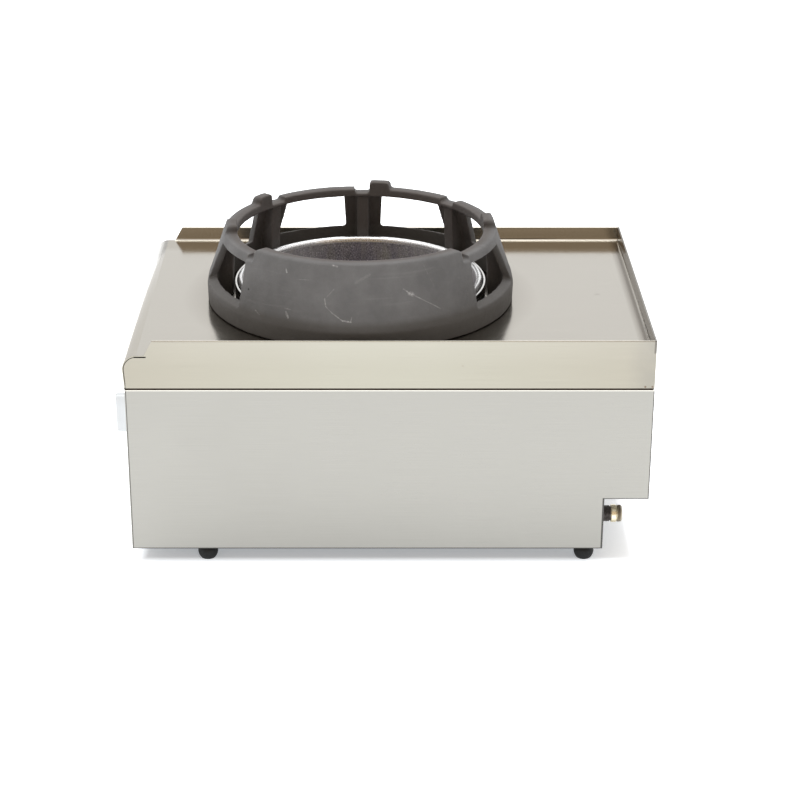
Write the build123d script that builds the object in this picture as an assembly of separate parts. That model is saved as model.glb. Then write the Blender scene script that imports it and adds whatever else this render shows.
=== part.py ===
from build123d import *
import os
from math import cos, radians, sin, tan

# Table-top gas wok range.  Millimetres.  +Z is up, the front with the knob faces -Y, the right
# side faces +X.  The origin is on the ground under the middle of the whole outline, knob included.

# ---- driving dimensions: cabinet ------------------------------------------------------------
body_width = 400.0          # across the worktop
body_depth = 600.0          # front edge to rear edge
body_height = 242.0         # underside of the cabinet to the worktop surface
foot_height = 20.0
worktop_sheet = 1.2         # sheet of the worktop and its skirts
panel_sheet = 1.0           # sheet of the cabinet panels
upstand_height = 18.0       # raised border on the right, left and rear sides
upstand_bend = 2.5          # inside radius where the worktop turns up
upstand_setback = 25.0      # front edge to the start of the side upstands
upstand_lead = 10.0         # length of the sloped start of a side upstand
skirt_drop = 39.3           # worktop surface down to the lower edge of its skirt
seam_gap = 2.3              # open groove between the skirt and the flush panels below it
bullnose_radius = 16.5
front_lean = 4.0            # the rolled front leans in below its roll, in degrees
bullnose_room = 4.0         # clear space between the rolled edge and the sheets behind it
pan_corner = 1.5            # rounding of the pan's upright rear corners
end_slit = 0.8              # open seam between the rolled front and the side skirts
notch_height = 64.0         # cut-out at the lower rear, for the gas inlet
notch_depth = 51.0
tray_flange = 10.0          # upturned edges of the base panel
recess_flange = 12.0        # upturned edge of the recess panel, behind the rear panel

# ---- driving dimensions: openings and air slots ---------------------------------------------
slot_width = 8.0
base_slot_length = 50.0
base_slot_pitch = 22.0
base_slot_count = 9
base_slot_side = 95.0       # sideways place of the two slot rows in the base
rear_slot_length = 40.0
rear_slot_pitch = 24.0
rear_slot_count = 11
rear_slot_drop = 64.0       # rear slot centres below the worktop surface

# ---- driving dimensions: feet ---------------------------------------------------------------
foot_radius = 11.7          # at its widest place
foot_sole_radius = 8.6
foot_neck_radius = 9.2
foot_neck_height = 4.0      # straight neck under the cabinet
foot_inset = 20.0           # foot centre in from the side
front_foot_setback = 88.0   # foot centre behind the front edge
rear_foot_setback = 19.5    # foot centre ahead of the inlet recess
foot_pocket_radius = 6.0
foot_pocket_depth = 6.0
foot_screw_radius = 2.5
foot_screw_head_radius = 4.6
foot_screw_head_height = 3.0
foot_nut_width = 8.0
foot_nut_height = 4.0
screw_clearance = 0.3       # radial room of a screw in its hole
screw_tail = 2.0            # thread that stands past a nut

# ---- driving dimensions: burner opening and bowl --------------------------------------------
burner_setback = 266.5      # burner axis behind the front edge
collar_gap = 21.5           # radial room between the collar round the opening and the wok ring
collar_height = 20.5
collar_sheet = 2.0
collar_seat = 5.0           # width of the inward ledge that carries the bowl
bowl_gap = 1.4              # radial room between the bowl's hem and the collar
bowl_sheet = 1.0
bowl_roll_width = 8.0       # rolled rim, measured across
bowl_rim_height = 24.5      # top of the rolled rim above the worktop
bowl_depth = 95.0           # worktop surface down to the bottom of the bowl
bowl_corner_radius = 14.0
bowl_hole_gap = 18.0        # radial room for air between the burner head and the bowl's hole
bowl_lip_height = 8.0

# ---- driving dimensions: cast wok ring ------------------------------------------------------
ring_side_gap = 13.8        # room between the ring's widest place and the side upstands
ring_base_wall = 11.5       # thickness of the base band
ring_foot_bevel = 7.0       # the outer part of the ring's underside runs up from the worktop
ring_foot_rise = 0.6
ring_belly = 0.6            # the base band swells this much above the worktop
ring_belly_height = 20.0
ring_crease_step = 1.5      # the crease lies this far in from the foot of the base band
ring_crease_height = 30.0
ring_sill_step = 3.0        # the foot of the leaning wall lies this far in from it
ring_sill_height = 33.0
ring_wall = 9.5             # thickness of the wall between the windows
ring_lean = 18.0            # the wall leans in this far from its foot to the top
ring_height = 86.0
ring_band_width = 16.0      # flat top band
ring_band_height = 10.4
ring_turn = -0.8            # the loose ring lies turned by this many degrees
post_count = 5
post_pitch = 45.0           # degrees between posts, counted from the middle of the open side
post_top_width = 49.0
post_low_width = 45.0
end_post_top_width = 70.0   # the posts next to the closed side spread more towards it
end_post_low_width = 46.0
post_rib_width = 15.0
rib_foot_gap = 3.0          # room between the foot of a rib and the collar
window_corner_radius = 2.0
closed_half_angle = 51.0    # half angle of the closed side, which faces +X
closed_end_slant = 3.5      # its ends run in this far from top to bottom
closed_stand = 2.8          # the closed side stands this much proud of the windowed wall
raised_half_angle = 47.0
raised_height = 9.2         # wok rests above the top band
end_dip_angle = 4.2         # dip between the raised side and the top band
dip_depth = 5.5
rests = ((88.8, 101.5), (167.0, 177.0), (228.5, 237.2), (268.8, 280.8))   # from, to, in degrees
dips = ((130.8, 138.8), (177.0, 183.6), (220.5, 228.5))                   # from, to, in degrees
band_bevel = 1.4            # bevel of the top band's rims
rest_round = 1.8            # rounding of the rims of the raised rests
tip_radius = 5.0            # rounding of the ends of the raised rests
closed_round = 5.0          # rounding of the closed side's upper outer rim
shoulder_radius = 6.0       # rounding between the base band and the leaning wall
sill_drop = 3.5             # outer edge of a window sill below the crease
sill_rise = 0.38            # rise of a window sill inward, per millimetre
rib_setback = 3.0           # top of a rib outward from the band's inner rim

# ---- driving dimensions: burner -------------------------------------------------------------
gas_line_height = 86.0      # knob, tap and mixing tube axis above the underside of the cabinet
mixing_radius = 20.0
mixing_wall = 4.0
elbow_radius = 32.0
mouth_radius = 27.0
mouth_length = 16.0
mouth_setback = 122.0       # front edge to the mouth of the mixing tube
neck_top = 84.0             # top of the burner's neck below the worktop surface
head_radius = 52.0
head_wall = 5.0
head_flare = 22.0
head_height = 24.0          # straight part of the burner head
crown_inset = 4.0           # crown inside the rim of the head
crown_height = 20.0
crown_step = 2.0            # how far the crown sits down in the head
crown_wall = 4.0
crown_dome = 6.0
port_count = 30
port_width = 2.4
port_height = 9.0
cap_radius = 16.0
cap_height = 7.0
cap_spigot_radius = 8.0
cap_spigot_length = 6.0
loose_fit = 0.3             # room round pieces that lift off or slide loosely
boss_radius = 12.0
boss_drop = 8.0             # mounting boss below the mixing tube
boss_setback = 8.0          # boss centre ahead of the start of the elbow

# ---- driving dimensions: burner bracket -----------------------------------------------------
bracket_width = 44.0
bracket_half_span = 70.0
bracket_foot = 24.0
bracket_sheet = 2.5
bracket_head_width = 8.0
bracket_head_height = 3.5

# ---- driving dimensions: injector -----------------------------------------------------------
injector_gap = 12.0         # tip of the injector to the mouth of the mixing tube
injector_length = 12.0
injector_radius = 5.5
injector_tip_radius = 2.5
injector_bore_radius = 0.8
holder_width = 22.0
holder_length = 16.0
arm_sheet = 2.0
arm_width = 18.0
lug_stand = 3.0             # lugs stand this far out past the mixing tube's mouth
lug_length = 12.0
shutter_radius = 25.0
shutter_sheet = 1.5

# ---- driving dimensions: gas tap and knob ---------------------------------------------------
knob_reach = 36.0           # front edge of the worktop to the front of the knob
knob_radius = 25.0
knob_skirt_height = 7.0
knob_grip_width = 14.0
knob_taper = 2.0
knob_hub_radius = 6.5
knob_shell = 2.5
knob_travel = 4.0
knob_play = 0.6             # gap left behind the knob when it is pushed in
bezel_radius = 31.0
bezel_thickness = 1.5
tap_hole_radius = 8.0
tap_flange = 46.0
tap_flange_thickness = 4.0
tap_radius = 15.0
tap_length = 46.0
tap_outlet_radius = 7.0
tap_outlet_length = 10.0
tap_boss_radius = 9.0
tap_boss_drop = 22.0
tap_side_boss_radius = 5.5
tap_side_boss_reach = 20.0
tap_side_boss_place = 36.0  # along the tap, behind the front panel
tap_manifold_place = 30.0   # along the tap, behind the front panel
plug_radius = 9.0
plug_length = 26.0
plug_end_play = 0.3
plug_port_radius = 3.0
tap_cap_thickness = 3.0
stem_radius = 3.0
stem_in_plug = 11.0
stem_pocket = 21.0
stem_cover = 8.0            # knob material in front of the stem
running_fit = 0.05          # radial room of parts that turn or slide in each other
tap_screw_radius = 2.0
tap_screw_spacing = 36.0
tap_screw_head_radius = 3.6
tap_screw_head_height = 1.2
tap_screw_length = 9.0

# ---- driving dimensions: pipes --------------------------------------------------------------
inlet_side_inset = 38.0     # gas inlet axis in from the right side
inlet_height = 27.0         # gas inlet axis above the underside of the cabinet
stub_radius = 10.0          # steel stub through the recessed wall
stub_bore_radius = 7.0
stub_outer_length = 12.3
stub_inner_length = 14.0
inlet_thread_radius = 10.48
inlet_bore_radius = 5.5
inlet_thread_length = 13.0
inlet_spigot_length = 8.0
inlet_chamfer = 1.0
backnut_width = 24.0
backnut_thickness = 6.0
manifold_radius = 8.0
manifold_wall = 1.5
manifold_bend = 16.0
manifold_nut_width = 22.0
manifold_nut_height = 5.0
supply_radius = 4.0
supply_wall = 1.0
supply_nut_width = 13.0
supply_nut_length = 5.5
pilot_pipe_radius = 2.0
lead_radius = 1.2
small_bend = 10.0
small_pipe_side = 50.0      # sideways place of the pilot pipe and the thermocouple lead
small_pipe_drop = 12.0      # those two below the pilot's plate where they cross over

# ---- driving dimensions: pilot --------------------------------------------------------------
pilot_gap = 5.0             # burner head to the pilot's axis
pilot_side = 13.0
pilot_radius = 4.0
pilot_height = 58.0
pilot_hood = 6.0
probe_radius = 2.4
probe_height = 62.0
pilot_plate_sheet = 2.0
pilot_plate_collar = 9.0
pilot_plate_half_width = 19.0
pilot_plate_margin = 6.0
pilot_plate_drop = 10.0     # plate below the start of the burner's head

# ---- driving dimensions: rear screws --------------------------------------------------------
rear_screw_radius = 2.0
rear_screw_head_radius = 3.8
rear_screw_head_height = 1.2
rear_screw_inset = 14.0
rear_screw_columns = 3
rear_screw_length = 6.0

# ---- places worked out from the dimensions --------------------------------------------------
base_z = foot_height
top_z = base_z + body_height
rim_z = top_z + upstand_height
skirt_z = top_z - skirt_drop
seam_z = skirt_z - seam_gap                  # top of the flush lower panels
under_top_z = top_z - worktop_sheet
side_x = body_width / 2
upstand_thickness = 2 * worktop_sheet        # hemmed double sheet
front_y = knob_reach - (body_depth + knob_reach) / 2
rear_y = front_y + body_depth

roll_drop = skirt_drop - bullnose_radius
lean = radians(front_lean)
panel_x = side_x - worktop_sheet            # outer faces of the panels behind the skirt
inner_x = panel_x - panel_sheet
low_inner_x = side_x - panel_sheet          # inner faces of the flush side panels
panel_front_y = front_y + bullnose_radius * (1 - 1 / cos(lean)) + tan(lean) * roll_drop
inner_front_y = panel_front_y + panel_sheet
tuck_y = panel_front_y + worktop_sheet / cos(lean)   # front panel where it is behind the skirt
tuck_inner_y = tuck_y + panel_sheet
panel_rear_y = rear_y - worktop_sheet
inner_rear_y = panel_rear_y - panel_sheet
recess_y = rear_y - notch_depth             # rear face of the recessed wall
recess_z = base_z + notch_height            # underside of the shelf over the inlet
floor_z = base_z + panel_sheet

burner_y = front_y + burner_setback
gas_z = base_z + gas_line_height
ring_base_radius = side_x - upstand_thickness - ring_side_gap - ring_belly
ring_crease_radius = ring_base_radius - ring_crease_step
ring_sill_radius = ring_base_radius - ring_sill_step
ring_top_radius = ring_sill_radius - ring_lean
band_z = ring_height - ring_band_height
raised_z = ring_height + raised_height
collar_radius = ring_base_radius - ring_base_wall - collar_gap
collar_inner = collar_radius - collar_sheet
ledge_z = under_top_z                       # ledge that the bowl's hem stands on
bowl_outer = collar_inner - bowl_gap
bowl_inner = bowl_outer - bowl_roll_width
bowl_bottom_z = top_z - bowl_depth
bowl_hole_radius = head_radius + bowl_hole_gap
neck_z = top_z - neck_top
head_z = neck_z + head_flare
head_top_z = head_z + head_height
crown_radius = head_radius - crown_inset
crown_z = head_top_z - crown_step
crown_top_z = crown_z + crown_height + crown_dome
mouth_y = front_y + mouth_setback
lug_reach = mouth_radius + lug_stand
boss_y = burner_y - elbow_radius - boss_setback
bracket_z = gas_z - mixing_radius - boss_drop
injector_tip_y = mouth_y - injector_gap
holder_rear_y = injector_tip_y - injector_length
holder_front_y = holder_rear_y - holder_length
tap_rear_y = inner_front_y + tap_length
outlet_y = tap_rear_y + tap_outlet_length
manifold_y = inner_front_y + tap_manifold_place
side_boss_y = inner_front_y + tap_side_boss_place
manifold_top_z = gas_z - tap_boss_drop
inlet_x = side_x - inlet_side_inset
inlet_z = base_z + inlet_height
bezel_y = panel_front_y - bezel_thickness
knob_rear_y = bezel_y - knob_travel - knob_play
knob_front_y = front_y - knob_reach
knob_length = knob_rear_y - knob_front_y
stem_front_y = knob_front_y + stem_cover
stem_rear_y = inner_front_y + tap_cap_thickness + plug_end_play + stem_in_plug
pilot_y = burner_y - head_radius - pilot_gap
pilot_plate_z = neck_z - pilot_plate_drop
crossover_z = pilot_plate_z - small_pipe_drop


# ---- helpers --------------------------------------------------------------------------------
def block(x0, x1, y0, y1, z0, z1):
    """Block between two opposite corners."""
    centre = Pos((x0 + x1) / 2, (y0 + y1) / 2, (z0 + z1) / 2)
    return centre * Box(x1 - x0, y1 - y0, z1 - z0)


def profile(points):
    """Closed outline of (radius, height) or (across, up) points in the XZ plane."""
    return Plane.XZ * make_face(Polyline(*points, close=True))


def turned(points):
    """Solid of revolution about Z of (radius, height) points."""
    return revolve(profile(points), Axis.Z)


def sector(points, middle, half_angle):
    """Part of a solid of revolution: (radius, height) points swept about Z round an angle."""
    start = Rot(Z=middle - half_angle) * profile(points)
    return revolve(start, Axis.Z, revolution_arc=2 * half_angle)


def rod(radius, length):
    """Round bar from the origin along +Z."""
    return Pos(0, 0, length / 2) * Cylinder(radius, length)


def pipe_ring(outer, inner, length):
    """Hollow round bar from the origin along +Z."""
    return rod(outer, length) - rod(inner, length)


def hexagon(width, length):
    """Hexagonal bar from the origin along +Z, by its width across the flats."""
    return extrude(RegularPolygon(width / 2, 6, major_radius=False), length)


def to_front(x, y, z):
    """Place whose +Z points at the front."""
    return Pos(x, y, z) * Rot(X=90)


def to_rear(x, y, z):
    """Place whose +Z points at the rear."""
    return Pos(x, y, z) * Rot(X=-90)


def bent_tube(points, bend, radius, wall=None):
    """Tube along straight runs joined by arcs; solid where no wall is given."""
    path = FilletPolyline(*points, radius=bend)
    section = Circle(radius)
    if wall:
        section -= Circle(radius - wall)
    return sweep(Plane(origin=path @ 0, z_dir=path % 0) * section, path=path)


def foot_places():
    """Foot centres on the ground."""
    return [
        (sx * (side_x - foot_inset), y)
        for sx in (-1, 1)
        for y in (front_y + front_foot_setback, recess_y - rear_foot_setback)
    ]


# ---- cabinet --------------------------------------------------------------------------------
def pan_outline(inset, back, low):
    """Side view (along, up) of the pan from its rolled front, this far inside its outer face."""
    radius = bullnose_radius - inset

    def face_y(z):
        rise = z - top_z + bullnose_radius
        return front_y + bullnose_radius - (radius + sin(lean) * rise) / cos(lean)

    top = top_z - inset
    outline = make_face(Polyline(
        (face_y(low), low), (face_y(top), top), (back, top), (back, low), close=True))
    return fillet(outline.vertices().sort_by(Axis.X)[0], radius)


def make_worktop():
    """Pressed pan: rolled front edge, skirts, hemmed upstands on three sides, burner opening."""
    shell = block(-side_x, side_x, front_y, rear_y, skirt_z, rim_z)
    shell = fillet(shell.edges().filter_by(Axis.Z).group_by(Axis.Y)[-1], pan_corner)
    tray_x = side_x - upstand_thickness
    tray = block(-tray_x, tray_x, front_y - 1, rear_y - upstand_thickness, top_z, rim_z + 1)
    turned_up = tray.faces().sort_by(Axis.Z)[0].edges().sort_by(Axis.Y)[1:]
    shell -= fillet(turned_up, upstand_bend)
    shell = fillet(shell.faces().sort_by(Axis.Z)[-1].edges().filter_by(
        lambda e: e.center().Y > front_y + 1), 0.45 * upstand_thickness)
    lead_start = front_y + upstand_setback
    shell -= extrude(
        Plane.YZ * make_face(Polyline(
            (front_y - 1, top_z), (lead_start, top_z), (lead_start + upstand_lead, rim_z),
            (lead_start + upstand_lead, rim_z + 1), (front_y - 1, rim_z + 1), close=True)),
        side_x + 1, both=True)
    trim = make_face(Polyline(
        (front_y - 1, skirt_z - 1), (front_y - 1, top_z + 1), (lead_start - 1, top_z + 1),
        (lead_start - 1, skirt_z - 1), close=True))
    trim -= pan_outline(0, lead_start, skirt_z - 2)
    shell -= extrude(Plane.YZ * trim, side_x + 1, both=True)
    shell -= extrude(
        Plane.YZ * pan_outline(worktop_sheet, panel_rear_y, skirt_z - 1), panel_x, both=True)
    behind_seam = worktop_sheet + end_slit
    seam = pan_outline(worktop_sheet, lead_start + worktop_sheet, skirt_z - 1)
    seam -= pan_outline(behind_seam, lead_start + behind_seam, skirt_z - 1)
    for sx in (-1, 1):
        shell -= Pos(sx * (panel_x + side_x) / 2, 0, 0) * extrude(
            Plane.YZ * seam, 1.01 * worktop_sheet / 2, both=True)
    opening = Pos(0, burner_y, under_top_z - 1) * rod(collar_radius, worktop_sheet + 2)
    return shell - opening


def make_burner_collar():
    """Angle ring welded into the opening: upright collar with an inward ledge for the bowl."""
    ledge_inner = collar_inner - collar_seat
    return Pos(0, burner_y, 0) * turned([
        (ledge_inner, ledge_z - collar_sheet), (collar_radius, ledge_z - collar_sheet),
        (collar_radius, top_z + collar_height), (collar_inner, top_z + collar_height),
        (collar_inner, ledge_z), (ledge_inner, ledge_z)])


def make_side_panel(side):
    """Side of the cabinet: flush below the skirt, stepped in behind it, cut out at the rear."""
    step = bullnose_radius + bullnose_room
    shelf_z = seam_z - panel_sheet
    low = make_face(Polyline(
        (inner_front_y, base_z), (recess_y, base_z), (recess_y, recess_z), (rear_y, recess_z),
        (rear_y, seam_z), (inner_front_y, seam_z), close=True))
    high = make_face(Polyline(
        (tuck_inner_y, shelf_z), (inner_rear_y, shelf_z), (inner_rear_y, under_top_z),
        (front_y + step, under_top_z), (tuck_inner_y, top_z - step), close=True))
    sheet = Pos(low_inner_x, 0, 0) * extrude(Plane.YZ * low, panel_sheet)
    sheet += Pos(inner_x, 0, 0) * extrude(Plane.YZ * high, panel_sheet)
    sheet += block(inner_x, side_x, tuck_inner_y, inner_rear_y, shelf_z, seam_z)
    return sheet if side > 0 else mirror(sheet, Plane.YZ)


def make_front_panel():
    """Fascia with the hole for the tap, stepped in behind the worktop's front skirt."""
    top = top_z - bullnose_radius - bullnose_room
    sheet = block(-side_x, side_x, panel_front_y, inner_front_y, base_z, seam_z)
    sheet += block(-low_inner_x, low_inner_x, panel_front_y, tuck_inner_y,
                   seam_z - panel_sheet, seam_z)
    sheet += block(-panel_x, panel_x, tuck_y, tuck_inner_y, seam_z - panel_sheet, top)
    sheet -= to_rear(0, panel_front_y - 1, gas_z) * rod(tap_hole_radius, panel_sheet + 2)
    for sx in (-1, 1):
        hole = rod(tap_screw_radius + screw_clearance, panel_sheet + 2)
        sheet -= to_rear(sx * tap_screw_spacing / 2, panel_front_y - 1, gas_z) * hole
    return sheet


def make_rear_panel():
    """Upper rear wall with a row of air slots."""
    sheet = block(-low_inner_x, low_inner_x, inner_rear_y, panel_rear_y, recess_z, seam_z)
    sheet += block(-panel_x, panel_x, inner_rear_y, panel_rear_y, seam_z, under_top_z)
    slot = extrude(Plane.XZ * SlotOverall(rear_slot_length, slot_width, rotation=90),
                   panel_sheet + 2, both=True)
    for i in range(rear_slot_count):
        x = (i - (rear_slot_count - 1) / 2) * rear_slot_pitch
        sheet -= Pos(x, panel_rear_y, top_z - rear_slot_drop) * slot
    hole = rod(rear_screw_radius + screw_clearance, panel_sheet + 2)
    for x, z in rear_screw_places():
        sheet -= to_rear(x, inner_rear_y - 1, z) * hole
    return sheet


def make_inlet_recess_panel():
    """Folded sheet round the cut-out: recessed wall, shelf, and a flange behind the rear panel."""
    front = recess_y - panel_sheet
    outline = make_face(Polyline(
        (front, base_z), (recess_y, base_z), (recess_y, recess_z), (inner_rear_y, recess_z),
        (inner_rear_y, recess_z + recess_flange),
        (inner_rear_y - panel_sheet, recess_z + recess_flange),
        (inner_rear_y - panel_sheet, recess_z + panel_sheet),
        (front, recess_z + panel_sheet), close=True))
    sheet = extrude(Plane.YZ * outline, low_inner_x, both=True)
    sheet -= to_rear(inlet_x, front - 1, inlet_z) * rod(stub_radius, panel_sheet + 2)
    hole = rod(rear_screw_radius + screw_clearance, 2 * panel_sheet + 2)
    for x, z in rear_screw_places():
        if z < recess_z + recess_flange:
            sheet -= to_rear(x, inner_rear_y - panel_sheet - 1, z) * hole
    return sheet


def make_base_panel():
    """Floor tray with upturned edges, air slots and holes for the feet and the bracket."""
    rear = recess_y - panel_sheet
    edge_x = low_inner_x - panel_sheet
    tray = block(-low_inner_x, low_inner_x, inner_front_y, rear, base_z, base_z + tray_flange)
    tray -= block(-edge_x, edge_x, inner_front_y + panel_sheet, rear - panel_sheet,
                  floor_z, base_z + tray_flange + 1)
    slot = extrude(SlotOverall(base_slot_length, slot_width), panel_sheet + 2, both=True)
    for sx in (-1, 1):
        for i in range(base_slot_count):
            y = burner_y + (i - (base_slot_count - 1) / 2) * base_slot_pitch
            if abs(y - boss_y) > bracket_width / 2 + slot_width:
                tray -= Pos(sx * base_slot_side, y, base_z) * slot
    foot_hole = rod(foot_screw_radius + screw_clearance, panel_sheet + 2)
    for x, y in foot_places():
        tray -= Pos(x, y, base_z - 1) * foot_hole
    return tray


def make_feet():
    """Four barrel-shaped rubber feet with a pocket for the screw head in each sole."""
    neck_z = foot_height - foot_neck_height
    outline = Polyline((foot_neck_radius, neck_z), (foot_neck_radius, foot_height),
                       (0, foot_height), (0, 0), (foot_sole_radius, 0))
    outline += ThreePointArc((foot_sole_radius, 0), (foot_radius, neck_z / 2),
                             (foot_neck_radius, neck_z))
    foot = revolve(Plane.XZ * make_face(outline), Axis.Z)
    foot -= Pos(0, 0, -1) * rod(foot_pocket_radius, foot_pocket_depth + 1)
    foot -= rod(foot_screw_radius + screw_clearance, foot_height + 1)
    return [Pos(x, y, 0) * foot for x, y in foot_places()]


def make_foot_screws():
    """Pan-head screws through the feet and the base."""
    shank_top = floor_z + foot_nut_height + screw_tail
    head = rod(foot_screw_head_radius, foot_screw_head_height)
    screw = Pos(0, 0, foot_pocket_depth - foot_screw_head_height) * head
    screw += Pos(0, 0, foot_pocket_depth) * rod(foot_screw_radius, shank_top - foot_pocket_depth)
    return [Pos(x, y, 0) * screw for x, y in foot_places()]


def make_foot_nuts():
    """Hexagon nuts on the foot screws, on the cabinet floor."""
    nut = hexagon(foot_nut_width, foot_nut_height) - rod(foot_screw_radius, foot_nut_height)
    return [Pos(x, y, floor_z) * nut for x, y in foot_places()]


def rear_screw_places():
    """Heads along the lower and upper edges of the rear panel."""
    reach = panel_x - rear_screw_inset
    step = 2 * reach / (rear_screw_columns - 1)
    columns = [i * step - reach for i in range(rear_screw_columns)]
    low = recess_z + panel_sheet + (recess_flange - panel_sheet) / 2
    return [(x, low) for x in columns]


def make_rear_screws():
    """Pan-head screws that hold the rear panel to the recess panel."""
    screw = rod(rear_screw_head_radius, rear_screw_head_height)
    screw += Rot(X=180) * rod(rear_screw_radius, rear_screw_length)
    return [to_rear(x, panel_rear_y, z) * screw for x, z in rear_screw_places()]


# ---- bowl and cast ring ---------------------------------------------------------------------
def make_burner_bowl():
    """Deep bowl with a rolled rim; its hem stands on the collar's ledge."""
    roll = bowl_roll_width / 2
    roll_z = top_z + bowl_rim_height - roll
    wall_r = bowl_inner + bowl_sheet
    hem_r = bowl_outer - bowl_sheet
    middle = (bowl_inner + bowl_outer) / 2
    lip_r = bowl_hole_radius + bowl_sheet
    lip_z = bowl_bottom_z + bowl_lip_height
    corner = bowl_corner_radius
    slant = cos(radians(45))
    inner_c = (bowl_inner - corner + bowl_sheet, bowl_bottom_z + corner)
    outline = [
        Line((bowl_hole_radius, bowl_bottom_z), (wall_r - corner, bowl_bottom_z)),
        ThreePointArc((wall_r - corner, bowl_bottom_z),
                      (wall_r - corner * (1 - slant), bowl_bottom_z + corner * (1 - slant)),
                      (wall_r, bowl_bottom_z + corner)),
        Line((wall_r, bowl_bottom_z + corner), (wall_r, roll_z)),
        ThreePointArc((wall_r, roll_z), (middle, roll_z + roll - bowl_sheet), (hem_r, roll_z)),
        Polyline((hem_r, roll_z), (hem_r, ledge_z), (bowl_outer, ledge_z), (bowl_outer, roll_z)),
        ThreePointArc((bowl_outer, roll_z), (middle, roll_z + roll), (bowl_inner, roll_z)),
        Line((bowl_inner, roll_z), (bowl_inner, bowl_bottom_z + corner)),
        ThreePointArc((bowl_inner, bowl_bottom_z + corner),
                      (inner_c[0] + (corner - bowl_sheet) * slant,
                       inner_c[1] - (corner - bowl_sheet) * slant),
                      (wall_r - corner, bowl_bottom_z + bowl_sheet)),
        Polyline((wall_r - corner, bowl_bottom_z + bowl_sheet),
                 (lip_r, bowl_bottom_z + bowl_sheet), (lip_r, lip_z),
                 (bowl_hole_radius, lip_z), (bowl_hole_radius, bowl_bottom_z)),
    ]
    section = Plane.XZ * make_face(Curve() + outline)
    return Pos(0, burner_y, 0) * revolve(section, Axis.Z)


def wall_radius(height):
    """Outer radius of the leaning wall at a height above the worktop."""
    lean = (ring_sill_radius - ring_top_radius) / (ring_height - ring_sill_height)
    return ring_sill_radius - (height - ring_sill_height) * lean


def closed_radius(height):
    """Outer radius of the closed side at a height above the worktop."""
    top = ring_top_radius + closed_stand
    lean = (ring_crease_radius - top) / (ring_height - ring_crease_height)
    return ring_crease_radius - (height - ring_crease_height) * lean


def crown_cut(level, outer):
    """Outline that lowers the ring's top edge to a level and bevels its two rims."""
    inner = ring_top_radius - ring_band_width
    high = ring_height + raised_height + 2
    b = band_bevel
    return [(inner - 10, level - b), (inner, level - b), (inner + b, level), (outer - b, level),
            (outer + b, level - 2 * b), (ring_base_radius + 8, level - 2 * b),
            (ring_base_radius + 8, high), (inner - 10, high)]


def tip_cut(angle, side):
    """Prism that rounds a raised rest's upper corner; the rest lies to this side of the angle."""
    high = ring_height + raised_height
    corner = Pos(side * (tip_radius - 1) / 2, high - (tip_radius - 1) / 2) * Rectangle(
        tip_radius + 1, tip_radius + 1)
    corner -= Pos(side * tip_radius, high - tip_radius) * Circle(tip_radius)
    return Rot(Z=angle) * extrude(Plane.YZ * corner, ring_base_radius + 8)


def post_prism(angle, top_width, low_width):
    """Radial block over a post, a little narrower at its foot than under the top band."""
    up, down = band_z + 1, ring_crease_height - 2 * shoulder_radius
    slope = (top_width - low_width) / 2 / (band_z - ring_crease_height)
    high = top_width / 2 + slope * (up - band_z)
    low = low_width / 2 - slope * (ring_crease_height - down)
    face = make_face(Polyline((-low, down), (low, down), (high, up), (-high, up), close=True))
    return Rot(Z=angle) * extrude(Plane.YZ * face, ring_base_radius + 10)


def make_window(low, high):
    """Cutter of one window between two upright blocks at these angles."""
    inside, outside = ring_top_radius - ring_band_width - 8, ring_base_radius + 8
    sill_z = ring_crease_height - sill_drop
    cutter = sector([
        (inside, sill_z + sill_rise * (ring_crease_radius - inside)),
        (outside, sill_z + sill_rise * (ring_crease_radius - outside)),
        (outside, band_z), (inside, band_z)], (low + high) / 2, (high - low) / 2)
    end_width = 2 * closed_radius(band_z) * sin(radians(closed_half_angle + post_pitch - 90))
    beside_closed = abs((low + high) / 2 - 180) > 2 * post_pitch
    for angle in (low, high):
        if abs(angle - 180) > 2 * post_pitch + 1:
            cutter -= post_prism(angle, end_width, end_width - 2 * closed_end_slant)
        elif beside_closed:
            cutter -= post_prism(angle, end_post_top_width, end_post_low_width)
        else:
            cutter -= post_prism(angle, post_top_width, post_low_width)
    jamb_edges = [e for e in cutter.edges() if abs(
        Vector((e @ 0).X, (e @ 0).Y).length - Vector((e @ 1).X, (e @ 1).Y).length) > 20]
    return fillet(jamb_edges, window_corner_radius)


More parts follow.
